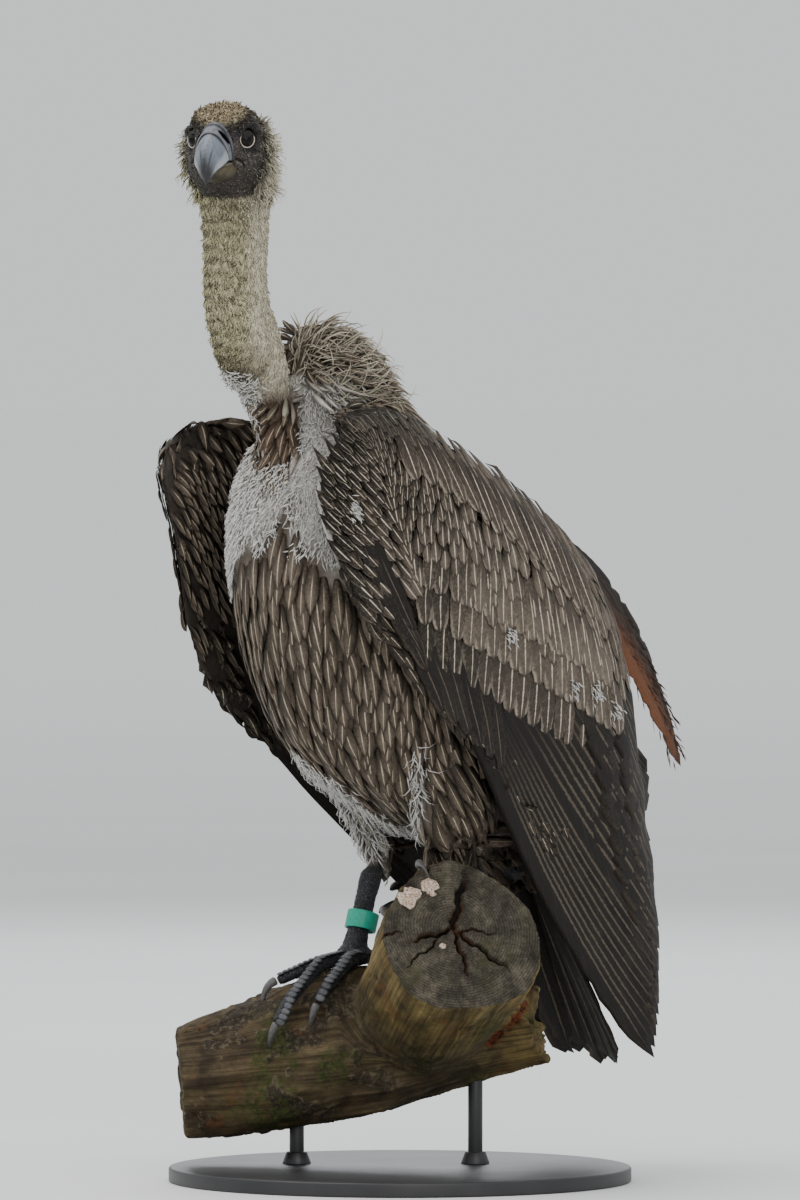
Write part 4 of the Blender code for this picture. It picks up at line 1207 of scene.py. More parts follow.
low_enough = np.flatnonzero((middles[:, 2] < 0.67) & (middles[:, 2] > 0.15) & (np.abs(middles[:, 0]) > 0.03))
for k in low_enough:
    p = Vector(middles[k])
    owner[k] = min(range(3), key=lambda n: owners[n].find_nearest(p)[3])


def scatter(chosen, spacing, tries=5.0):
    """Even random places on the skin: where chosen(middles) holds, spacing(points) apart."""
    mesh = skin.data
    area = read_all(mesh.polygons, "area", 1)[:, 0]
    middles = face_middles(mesh)
    allowed = np.flatnonzero(chosen(middles))
    gap = spacing(middles[allowed])
    weight = area[allowed] / gap**2
    count = int(weight.sum() * tries)
    picked = rng.choice(allowed, count, p=weight / weight.sum())
    places = points_of(mesh)
    share = rng.random((count, 2))
    share = np.where(share.sum(axis=1, keepdims=True) > 1, 1 - share, share)
    rows = np.array([skin_faces[k][:3] for k in picked])
    a, b, c = places[rows[:, 0]], places[rows[:, 1]], places[rows[:, 2]]
    found = a + (b - a) * share[:, :1] + (c - a) * share[:, 1:]
    gaps = spacing(found)
    cell = float(gaps.max())
    taken, kept = {}, []
    keys = np.floor(found / cell).astype(int)
    around = [(i, j, k) for i in (-1, 0, 1) for j in (-1, 0, 1) for k in (-1, 0, 1)]
    for n in range(count):
        i, j, k = keys[n]
        x, y, z = found[n]
        limit = gaps[n] ** 2
        free = True
        for di, dj, dk in around:
            for px, py, pz in taken.get((i + di, j + dj, k + dk), ()):
                if (px - x) ** 2 + (py - y) ** 2 + (pz - z) ** 2 < limit:
                    free = False
                    break
            if not free:
                break
        if free:
            taken.setdefault((i, j, k), []).append((x, y, z))
            kept.append(n)
    return found[kept]


def on_skin(points):
    """Nearest skin place, smooth outward direction and face number for each point."""
    spots, ups, faces = [], [], []
    for p in points:
        spot, up, face, _ = skin_tree.find_nearest(Vector(p))
        spots.append(spot)
        ups.append(up)
        faces.append(face)
    return np.array(spots), np.array(ups), np.array(faces)


def spread(low, high, count):
    return rng.uniform(low, high, count)


def marked(count, streak, edge):
    """How strongly each feather's shaft and worn edge show, and how faded it is, all 0 to 1."""
    parts = np.broadcast_arrays(streak, edge, spread(0, 1, count))
    return np.stack(parts, axis=1)


def grow(name, roots, flow, length, width, rise, tint, marks, outline, steps=5, lie=1.0, cup=0.11):
    """Joined vanes over the skin.  Rise is the heights of roots and tips, lie how close they hug it."""
    count = len(roots)
    low, high = (height[:, None] for height in rise)
    spots, ups, faces = on_skin(roots)
    flow = unit(flow - ups * np.sum(flow * ups, axis=1, keepdims=True))
    flow = unit(flow + 0.07 * unit(np.cross(ups, flow)) * rng.normal(size=(count, 1)))
    reach = spots + flow * length[:, None]
    tips, tip_ups, _ = on_skin(reach)
    ends = reach * (1 - lie) + tips * lie
    ends = ends + unit(ups * (1 - lie) + tip_ups * lie) * high
    start = spots + ups * low
    halfway = spots + flow * (length * 0.5)[:, None]
    bedded, bedded_ups, _ = on_skin(halfway)
    halfway = halfway * (1 - lie) + bedded * lie + bedded_ups * (high * 0.75 + low * 0.25)
    bend = halfway * 2 - (start + ends) * 0.5
    u = np.linspace(0, 1, steps + 2)[:, None]
    line = start[:, None] * (1 - u) ** 2 + bend[:, None] * (2 * u * (1 - u)) + ends[:, None] * u**2
    facing = unit(ups[:, None] * (1 - u) + tip_ups[:, None] * u)
    return vanes(name, line, facing, width, tint, marks, unwrap[faces], outline, cup=cup)


def vanes(name, line, facing, width, tint, marks, patch, outline, across=1, cup=0.22, thick=0.025):
    """Closed thin vanes along lines of places: count x steps x 3, with the way each step faces.

    Outline is the half width at each step, as a share of width; patch is the roots' place on the map.
    """
    count, steps = line.shape[:2]
    ahead = unit(np.gradient(line, axis=1))
    sideways = unit(np.cross(facing, ahead))
    up = np.cross(ahead, sideways)
    u = np.linspace(0, 1, steps)[1:-1]
    half = width[:, None] * np.broadcast_to(outline, (count, len(u)))
    top = np.linspace(-1, 1, across + 2)
    ring_side = np.concatenate([top, [0.0]])
    ring_up = np.concatenate([cup * (1 - top**2), [cup - thick * 4]])
    ring_up[0] = ring_up[-2] = 0.0
    inner = line[:, 1:-1, None] + sideways[:, 1:-1, None] * (half[..., None] * ring_side)[..., None]
    inner = inner + up[:, 1:-1, None] * (half[..., None] * ring_up)[..., None]
    around = len(ring_side)
    body = inner.reshape(count, -1, 3)
    points = np.concatenate([line[:, :1], body, line[:, -1:]], axis=1)
    per = points.shape[1]
    tris = []
    rows = len(u)
    for k in range(around):
        n = (k + 1) % around
        tris.append((0, 1 + n, 1 + k))
        for r in range(rows - 1):
            a, b = 1 + r * around + k, 1 + r * around + n
            tris += [(a, b, b + around), (a, b + around, a + around)]
        last = 1 + (rows - 1) * around
        tris.append((last + k, last + n, per - 1))
    tris = np.array(tris)[:, ::-1]
    all_tris = (tris[None] + (np.arange(count) * per)[:, None, None]).reshape(-1, 3)
    mesh = bpy.data.meshes.new(name)
    mesh.vertices.add(count * per)
    mesh.vertices.foreach_set("co", points.astype(np.float32).ravel())
    mesh.loops.add(len(all_tris) * 3)
    mesh.loops.foreach_set("vertex_index", all_tris.astype(np.int32).ravel())
    mesh.polygons.add(len(all_tris))
    mesh.polygons.foreach_set("loop_start", np.arange(len(all_tris), dtype=np.int32) * 3)
    mesh.update(calc_edges=True)
    vane_u = np.concatenate([[0.5], np.tile(ring_side * 0.5 + 0.5, rows), [0.5]])
    vane_v = np.concatenate([[0.0], np.repeat(u, around), [1.0]])
    flat = np.stack([np.tile(vane_u, count), np.tile(vane_v, count)], axis=1)
    spot = np.repeat(patch, per, axis=0) + (flat - 0.5) * PATCH_SIZE
    for layer, uv in (("OFBake", np.clip(spot, 0.001, 0.999)), ("vane", flat)):
        made = mesh.uv_layers.new(name=layer)
        made.data.foreach_set("uv", uv[all_tris.ravel()].astype(np.float32).ravel())
    for layer, values in (("tint", np.clip(tint, 0.002, 1)), ("marks", marks)):
        values = np.hstack([values, np.ones((count, 1))])
        store(mesh, layer, np.repeat(values, per, axis=0), "FLOAT_COLOR")
    mesh.update()
    piece = bpy.data.objects.new(name, mesh)
    bpy.context.scene.collection.objects.link(piece)
    mesh.shade_smooth()
    return piece


def plumes(
    name, shaft=(0.50, 0.45, 0.36), rim=(0.20, 0.16, 0.125), fine=1.0, gloss=0.66, faded=0.3, shade=0.5
):
    """Feather finish: the root's tint, a tapering pale shaft, a worn pale edge, fine barbs and painted shadow
    at the base.
    """
    down = Finish(name, Specular_IOR_Level=0.22)
    place = down.where()
    tint, marks = down.attribute("tint", "Color"), down.attribute("marks", "Color")
    streak, edge, old = down.split(marks)
    u, v = down.vane()
    off_middle = abs(u - 0.5) * 2
    grain = down.noise(place, 420 * fine, 3, 0.6)
    colour = down.mix(1.0, tint, down.ramp(grain, (0.3, grey(0.72)), (0.7, grey(1.22))), "MULTIPLY")
    barb_way = down.joined(u * 3.0, v * 40.0 - off_middle * 7.0, grain)
    barbs = down.noise(down.stretched(barb_way, (1, 1, 0.2)), 1.0, 2, 0.5)
    colour = down.mix(down.rise(barbs, 0.52, 0.66) * 0.12, colour, shaft)
    width = 0.05 + 0.12 * streak
    # painted shadow at each feather's base, under the tip of the feather above; shade sets how dark
    under = down.rise(v, 0.72, 0.36) * shade
    colour = down.mix(under, colour, (0.010, 0.008, 0.006))
    line = down.rise(off_middle + (grain - 0.5) * 0.2, width, width * 0.35)
    shown = down.rise(streak, 0.0, 0.30) * down.rise(v, 0.20, 0.50) * down.rise(v, 1.0, 0.88)
    colour = down.mix(line * shown * 0.9, colour, shaft)
    fringe = down.rise(off_middle + v * v * 0.6 + (grain - 0.5) * 0.5, 0.92, 1.35) * edge
    colour = down.mix(fringe, colour, rim)
    colour = down.mix(down.rise(grain + old * 0.4, 0.80, 1.0) * faded, colour, (0.20, 0.155, 0.11))
    relief = down.bump(barbs + line * 0.4, 0.0004, 0.6)
    down.paint(Base_Color=colour, Roughness=gloss + grain * 0.2, Normal=relief)
    return down.material


def body_flow(points):
    """Which way feathers lie at world places, before they are laid flat on the skin."""
    x, y, z = points.T
    flow = np.tile((0.0, 0.45, -0.88), (len(points), 1))
    front = ramp_up(-y, 0.02, 0.09)
    upper = ramp_up(z, 0.47, 0.56)
    flow[:, 0] += -np.clip(x, -0.09, 0.09) * 7.0 * front * upper
    flow[:, 1] -= 0.30 * front
    low = ramp_up(-z, -0.42, -0.33)
    flow[:, 1] += 0.25 * low * (1 - ramp_up(-y, -0.02, 0.05))
    ruffed = ramp_up(z, 0.59, 0.63)
    out = np.stack([x - 0.01, y + 0.11, np.full(len(points), -0.02)], axis=1)
    flow = flow * (1 - ruffed[:, None]) + (unit(out) + (0, 0.1, -0.45)) * ruffed[:, None]
    return unit(flow)


def body_part(m):
    """Faces of trunk and back: not neck, wings, legs or face."""
    on_leg = (m[:, 2] < KNEE_TOP + 0.004) & (np.abs(m[:, 1]) < 0.11)
    high = (m[:, 1] < -0.122) & (m[:, 2] > 0.645) & (np.abs(m[:, 0]) < 0.042) | (m[:, 2] > 0.69)
    return (owner == 0) & ~on_leg & ~high


def white_breast(p):
    x, y, z = p.T
    whole = (y < -0.092) & (np.abs(x - 0.012) < 0.075) & (z + 9 * (x - 0.012) ** 2 > 0.530)
    whole &= (x < 0.056) | (z < 0.60)
    whole &= ~((np.abs(x - 0.026) < 0.015) & (z + 4 * np.abs(x - 0.026) < 0.570))
    aslant = (x + y) * 0.7071
    patch = (aslant > -0.113) & (aslant < -0.080) & (z > 0.592)
    return whole & ~patch


def gap_of(p):
    gap = 0.0084 + 0.0020 * ramp_up(p[:, 1], -0.02, 0.08)
    return gap - 0.0024 * ramp_up(p[:, 2], 0.55, 0.60)


roots = scatter(lambda m: body_part(m) & ~white_breast(m), gap_of)
count = len(roots)
gap = gap_of(roots)
tint = markings(roots) * spread(0.80, 1.22, (count, 1)) * (1 + 0.015 * rng.normal(size=(count, 3)))
front = ramp_up(-roots[:, 1], -0.03, 0.04)
below = (front * (roots[:, 2] < 0.60))[:, None]
tint = np.minimum(tint, (0.15, 0.118, 0.090)) * below + tint * (1 - below)
marks = marked(count, front * spread(0.10, 0.75, count) + 0.12, spread(0.0, 0.35, count))
length = gap * spread(4.6, 6.2, count)
body_coat = plumes("body_plumage", shaft=(0.46, 0.40, 0.30))
slim = np.array((0.60, 0.90, 1.0, 0.88, 0.50))
piece = grow(
    "body_feathers", roots, body_flow(roots), length, gap * spread(0.56, 0.74, count),
    (np.full(count, -0.0012), 0.0050 * spread(0.70, 1.30, count)), tint, marks, slim, cup=0.05,
)  # fmt: skip
finish_piece(piece, "body_feathers", body_coat)

# ------------------------ Down of neck and head
# Short woolly down covers the neck in rows of small curls, thinning to bristles on the crown and to
# a few fine hairs on the naked face.  White down shows on the breast, below the dark crop patch.


def tufts(name, roots, flow, length, width, rise, tint, marks, curl=0.0, lie=0.9, steps=3):
    """Fine three-sided spikes, curled sideways by curl times their length."""
    count = len(roots)
    spots, ups, faces = on_skin(roots)
    flow = unit(flow - ups * np.sum(flow * ups, axis=1, keepdims=True))
    aside = np.cross(ups, flow)
    turn = rng.normal(size=(count, 1)) * 0.35
    flow = unit(flow * np.cos(turn) + aside * np.sin(turn))
    aside = np.cross(ups, flow)
    u = np.linspace(0, 1, steps + 1)
    sway = (curl * rng.normal(size=count) * length)[:, None]
    along = length[:, None] * u * lie
    up = rise[:, None] * np.sin(u * 2.2)[None] - 0.0008
    line = spots[:, None] + flow[:, None] * along[..., None] + ups[:, None] * up[..., None]
    line = line + aside[:, None] * (sway * u**2)[..., None]
    taper = np.linspace(1.0, 0.45, steps - 1)
    facing = np.repeat(ups[:, None], steps + 1, axis=1)
    return vanes(name, line, facing, width, tint, marks, unwrap[faces], taper, 1, cup=1.1, thick=-0.1)


def neck_part(m):
    head = head_frame(m)
    bare = (head[:, 0] + 0.12 * head[:, 2] > -4) & (head[:, 2] + 0.2 * head[:, 0] > -40) & (m[:, 2] > 0.797)
    crown = (head[:, 2] + 0.35 * head[:, 0] > 24) & (m[:, 2] > 0.83)
    return (m[:, 2] > 0.638) & (m[:, 1] < -0.124) & (~bare | crown) | (m[:, 2] > 0.70) & (~bare | crown)


def neck_gap(p):
    return np.where(p[:, 2] > 0.80, 0.00112, 0.00132)


roots = scatter(neck_part, neck_gap, 3.0)
count = len(roots)
x, y, z = roots.T
head = head_frame(roots)
band = z * 620 + 5 * lumps(roots, (45, 45, 20))  # the rows of curls round the neck
row = 0.5 + 0.5 * np.sin(band)
on_crown = ramp_up(z, 0.80, 0.83) * ramp_up(head[:, 2], 5, 15)
flow = np.stack([0.3 * np.sin(z * 90), 0.25 * np.cos(z * 70), np.full(count, -1.0)], axis=1)
backward = np.array(HEAD_TURN @ (0.0, 1.0, -0.15))
flow = flow * (1 - on_crown[:, None]) + backward * on_crown[:, None]
flow += on_crown[:, None] * rng.normal(0, 0.55, (count, 3))
nape = ramp_up(y + 0.188 + 0.6 * x, -0.004, 0.016) * (1 - on_crown)
behind = ramp_up(z, 0.79, 0.80)[:, None] * backward * 0.014 * (1 - on_crown[:, None])
light = 0.40 + 0.85 * row * (1 - on_crown) + 0.75 * on_crown
tint = markings(roots + behind) * light[:, None] * spread(0.65, 1.30, (count, 1))
straw = np.array((0.20, 0.165, 0.11)) * spread(0.6, 1.5, (count, 1))
tint = np.where((z > 0.80)[:, None], np.maximum(tint, straw), tint)
brow_fade = ramp_up(head[:, 2] + 0.35 * head[:, 0], 23, 33)
tint = tint * (1 - 0.6 * on_crown * (1 - brow_fade))[:, None]
specks = (rng.random(count) < 0.30 * on_crown + 0.12 * (1 - nape) * ramp_up(-z, -0.80, -0.68))[:, None]
tint = np.where(specks, tint * 0.25, tint)
tint = tint * (1 - nape[:, None] * 0.4) + markings(roots) * nape[:, None] * 0.4
length = np.where(on_crown > 0.5, 0.0042, 0.0050) * spread(0.75, 1.35, count)
shaggy = ramp_up(z, 0.795, 0.815) * ramp_up(-head[:, 0], -2, 3) * ramp_up(-head[:, 2], -24, -12)
length *= 1 + 1.1 * shaggy
rise = length * (0.22 + 0.30 * row) * spread(0.6, 1.5, count)
rise *= (1 - 0.45 * nape * (1 - shaggy)) * (1 + 0.7 * shaggy)
marks = marked(count, 0, 0)
wool = plumes("woolly_down", fine=2.0, gloss=0.75, shade=0.15)
order = np.argsort(z)
for part, picked in (("lower", order[: count // 2]), ("upper", order[count // 2 :])):
    piece = tufts(
        f"neck_down_{part}", roots[picked], flow[picked], length[picked],
        spread(0.0004, 0.0007, len(picked)), rise[picked], tint[picked], marks[picked], 0.28,
    )  # fmt: skip
    finish_piece(piece, f"neck_down_{part}", wool)


def white_thigh(p):
    x, y, z = p.T
    inner_right = (x > -0.082) & (x < -0.008) & (y < 0.02) & (z < 0.352 + 0.04 * lumps(p, (40, 40, 20)))
    aslant = (x + y) * 0.7071
    inner_left = (x > 0.015) & (y < 0.01) & (aslant > 0.006) & (aslant < 0.018) & (z < 0.362)
    return (inner_right | inner_left) & (z > KNEE_TOP + 0.004)


roots = scatter(
    lambda m: (white_breast(m) & (m[:, 2] < 0.665) | white_thigh(m)) & (owner == 0),
    lambda p: np.where(p[:, 2] > 0.45, 0.0018, 0.0022),
    3.0,
)
count = len(roots)
flow = body_flow(roots) + 0.25 * rng.normal(size=(count, 3))
length = spread(0.006, 0.012, count) * np.where(roots[:, 2] < 0.45, 1.9, 1.0)
tint = np.array((0.90, 0.885, 0.85)) * spread(0.85, 1.08, (count, 1))
marks = marked(count, 0, 0)
piece = tufts(
    "breast_down", roots, flow, length, spread(0.0005, 0.0009, count),
    length * spread(0.15, 0.42, count) + 0.003, tint, marks, 0.30,
)  # fmt: skip
finish_piece(piece, "breast_down", wool)

roots = scatter(
    lambda m: (m[:, 2] > 0.79) & (head_frame(m)[:, 0] > -8), lambda p: np.full(len(p), 0.0019), 3.0
)
on_head = head_frame(roots)
lid = np.min([np.linalg.norm(on_head - EYES[name], axis=1) for name in EYES], axis=0)
roots = roots[(lid > 11.5) & (on_head[:, 2] < 24) & (on_head[:, 2] > -44)]
count = len(roots)
on_head = head_frame(roots)
flow = np.array(HEAD_TURN @ (0.0, 0.8, -0.6)) + 0.35 * rng.normal(size=(count, 3))
outer = ramp_up(np.abs(on_head[:, 1]), 22, 30)
length = (0.0017 + 0.0030 * outer) * spread(0.7, 1.5, count)
tint = np.array((0.40, 0.365, 0.305)) * spread(0.3, 1.6, (count, 1))
tint[rng.random(count) < 0.35] = (0.02, 0.016, 0.013)
marks = marked(count, 0, 0)
piece = tufts("face_bristles", roots, flow, length, np.full(count, 0.00019), length * 0.45, tint, marks, 0.2)
finish_piece(piece, "face_bristles", wool)

# ------------------------ Ruff: lance-shaped feathers
# Round the neck's base stand long, narrow, pale-streaked feathers that fan away from the neck and
# fall over shoulders and mantle, with a ragged tuft of cream filaments on the left.


def ruff_part(m):
    x, y, z = m.T
    round_neck = (z > 0.600) & (z < 0.70) & (np.abs(x) < 0.085)
    return round_neck & (y > -0.112 - 0.018 * ramp_up(z, 0.650, 0.662)) & (owner == 0)


roots = scatter(ruff_part, lambda p: np.full(len(p), 0.0052), 4.0)
count = len(roots)
x, y, z = roots.T
away = unit(np.stack([x - 0.012, y + 0.135, np.zeros(count)], axis=1))
top = ramp_up(z, 0.62, 0.665)
flow = away * (0.75 + 0.35 * top[:, None]) + np.array((0.0, 0.45, -0.80)) * (1 - 0.45 * top[:, None])
length = spread(0.030, 0.046, count) * (0.75 + 0.35 * (1 - top))
lift = 0.006 + 0.005 * top * spread(0.2, 1.6, count)
tint = markings(roots) * spread(0.65, 1.25, (count, 1)) * (1 + 0.02 * rng.normal(size=(count, 3)))
marks = marked(count, spread(0.5, 1.0, count), spread(0.0, 0.6, count))
ruff_coat = plumes("ruff_plumage", shaft=(0.52, 0.45, 0.34), rim=(0.40, 0.33, 0.25))
needle = np.array((0.55, 0.85, 1.0, 0.85, 0.55, 0.25))
piece = grow(
    "ruff_feathers", roots, flow, length, spread(0.0019, 0.0031, count), (np.full(count, -0.001), lift),
    tint, marks, needle, steps=6, lie=0.75,
)  # fmt: skip
finish_piece(piece, "ruff_feathers", ruff_coat)


def tuft_part(m):
    return ruff_part(m) & (m[:, 0] > 0.0) & (m[:, 2] > 0.635) & (m[:, 1] < -0.065)


roots = scatter(tuft_part, lambda p: np.full(len(p), 0.0025), 3.0)
count = len(roots)
x, y, z = roots.T
away = unit(np.stack([x - 0.010, y + 0.150, np.zeros(count)], axis=1))
flow = away + np.array((0.35, 0.0, 0.25)) + 0.35 * rng.normal(size=(count, 3))
length = spread(0.014, 0.034, count)
tint = np.array((0.72, 0.66, 0.52)) * spread(0.5, 1.2, (count, 1))
marks = marked(count, 0, 0)
piece = tufts(
    "ruff_filaments", roots, flow, length, spread(0.0005, 0.0009, count),
    length * spread(0.15, 0.50, count), tint, marks, 0.35, 0.85, 5,
)  # fmt: skip
finish_piece(piece, "ruff_filaments", wool)

# ------------------------ Wings: coverts over flight feathers
# Each folded wing is shingled from the wrist back: small dark coverts, paler streaked ones, two long
# rows, then the black flight feathers with pale shafts.  Each feather is a stiff vane on the arm.

class WingFace:
    """The outer face of a folded wing, read by place: s down its length, t square to it, in mm."""

    STEP = 5.0

    def __init__(self, name, side):
        self.side = side
        tree = tree_of_nodes(f"wing_{name}_arm", f"wing_{name}_flight")
        self.s = np.arange(-60, 665, self.STEP)
        self.t = np.arange(-95, 200, self.STEP)
        self.out = np.full((len(self.s), len(self.t)), np.nan)
        for i, s in enumerate(self.s):
            for j, t in enumerate(self.t):
                inside = edge_at(FRONT_EDGE, s) + 3 < t < edge_at(BACK_EDGE, s) - 2
                spot = self.level(np.array([s]), np.array([t]))[0]
                hit = tree.ray_cast(Vector((side * 0.4, spot[1], spot[2])), Vector((-side, 0, 0)))[0]
                if inside and hit is not None:
                    self.out[i, j] = hit[0] * side * 1000
        while np.isnan(self.out).any():
            padded = np.pad(self.out, 1, constant_values=np.nan)
            near = np.stack([padded[:-2, 1:-1], padded[2:, 1:-1], padded[1:-1, :-2], padded[1:-1, 2:]])
            known = ~np.isnan(near)
            mean = np.where(known, near, 0).sum(axis=0) / np.maximum(known.sum(axis=0), 1)
            self.out = np.where(np.isnan(self.out) & known.any(axis=0), mean - 0.6, self.out)
        for _ in range(2):
            padded = np.pad(self.out, 1, mode="edge")
            mean = (padded[:-2, 1:-1] + padded[2:, 1:-1] + padded[1:-1, :-2] + padded[1:-1, 2:]) / 4
            self.out = (self.out + mean) / 2

    def level(self, s, t):
        spot = np.array((0, WRIST[1], WRIST[2])) + (s[..., None] * DOWN + t[..., None] * SQUARE) * 0.001
        if self.side < 0:
            spot[..., 2] -= 0.012 * (1 - np.clip(s / 420, 0, 1)) ** 0.8
        return spot

    def outer(self, s, t):
        i = np.clip((s - self.s[0]) / self.STEP, 0, len(self.s) - 1.001)
        j = np.clip((t - self.t[0]) / self.STEP, 0, len(self.t) - 1.001)
        a, b = i.astype(int), j.astype(int)
        f, g = i - a, j - b
        low = self.out[a, b] * (1 - g) + self.out[a, b + 1] * g
        high = self.out[a + 1, b] * (1 - g) + self.out[a + 1, b + 1] * g
        return low * (1 - f) + high * f

    def spot(self, s, t, lift):
        places = self.level(s, t)
        places[..., 0] = self.side * (self.outer(s, t) + lift) * 0.001
        return places

    def facing(self, s, t):
        along = (self.outer(s + 4, t) - self.outer(s - 4, t)) / 8
        across = (self.outer(s, t + 4) - self.outer(s, t - 4)) / 8
        out = np.zeros((*s.shape, 3))
        out[..., 0] = self.side
        for slope, way in ((along, DOWN), (across, SQUARE)):
            out = out - np.clip(slope, -1.5, 1.5)[..., None] * way
        return unit(out)

    def wrap(self, line, ss, tt, share):
        """Bends what reaches past the wing's front or back edge inwards, round the edge."""
        past = np.maximum(edge_at(FRONT_EDGE, ss) + 3 - tt, 0)
        past = past - np.maximum(tt - edge_at(BACK_EDGE, ss) + 3, 0)
        line = line + (past * 0.75 * share)[..., None] * SQUARE * 0.001
        line[..., 0] -= self.side * np.abs(past) * 0.85 * share * 0.001
        return line

    def lay(
        self, name, s, t, angle, length, width, lift, tint, marks, outline, across, sweep, cup, wrap=0.0
    ):
        """Vanes from roots (s, t) at angle off the wing's length; lift is mm at root and at tip."""
        steps = outline.shape[-1] + 2
        u = np.linspace(0, 1, steps)
        angle = np.radians(angle)[:, None] - sweep * u
        step = length[:, None] / (steps - 1)
        run, rise = np.cos(angle) * step, -np.sin(angle) * step
        ss = s[:, None] + np.cumsum(run, axis=1) - run[:, :1]
        tt = t[:, None] + np.cumsum(rise, axis=1) - rise[:, :1]
        heights = lift[0][:, None] * (1 - u**0.5) + lift[1][:, None] * u**0.5
        line = self.wrap(self.spot(ss, tt, heights), ss, tt, wrap)
        patch = unwrap[on_skin(line[:, 0])[2]]
        facing = self.facing(ss, tt)
        return vanes(name, line, facing, width * 0.001, tint, marks, patch, outline, across, cup=cup)


def covert_tint(s, t, side):
    """Dark at the wrist and along the front, paler grey-brown over the arm, dark again low down."""
    from_wrist = np.hypot(s + 10, (t - 10) * 0.8)
    tint = (0.038, 0.028, 0.022) + ramp_up(from_wrist, 25, 120)[:, None] * (0.088, 0.071, 0.056)
    ahead = ramp_up(-(t - edge_at(FRONT_EDGE, s)), -34, -10)[:, None]
    tint = tint * (1 - (0.72 if side > 0 else 0.2) * ahead)
    if side < 0:
        tint = tint + np.array((0.050, 0.038, 0.029)) * (1 - ramp_up(s, 150, 230))[:, None]
    behind = ramp_up(t - edge_at(BACK_EDGE, s), -40, -10)[:, None]
    return tint * (1 - 0.25 * behind)


covert_coat = plumes("wing_coverts", shaft=(0.54, 0.48, 0.38), rim=(0.40, 0.34, 0.27))
flight_coat = plumes(
    "flight_feathers", shaft=(0.105, 0.085, 0.062), rim=(0.085, 0.064, 0.046), gloss=0.58, faded=0.07
)
rounded = np.array((0.40, 0.72, 0.92, 1.0, 0.94, 0.66))
long_round = np.array((0.45, 0.70, 0.86, 0.95, 1.0, 1.0, 0.98, 0.92, 0.76, 0.48))


def worn(count, base, rough, rows, power=5):
    """Outlines for long feathers: one per feather, with nicks that deepen towards the tip."""
    u = np.linspace(0, 1, rows + 2)[1:-1]
    shape = np.interp(u, np.linspace(0, 1, len(base)), base)
    nicks = rng.random((count, rows)) ** 3 * rough * (0.08 + u**power)
    return shape * (1 - nicks)


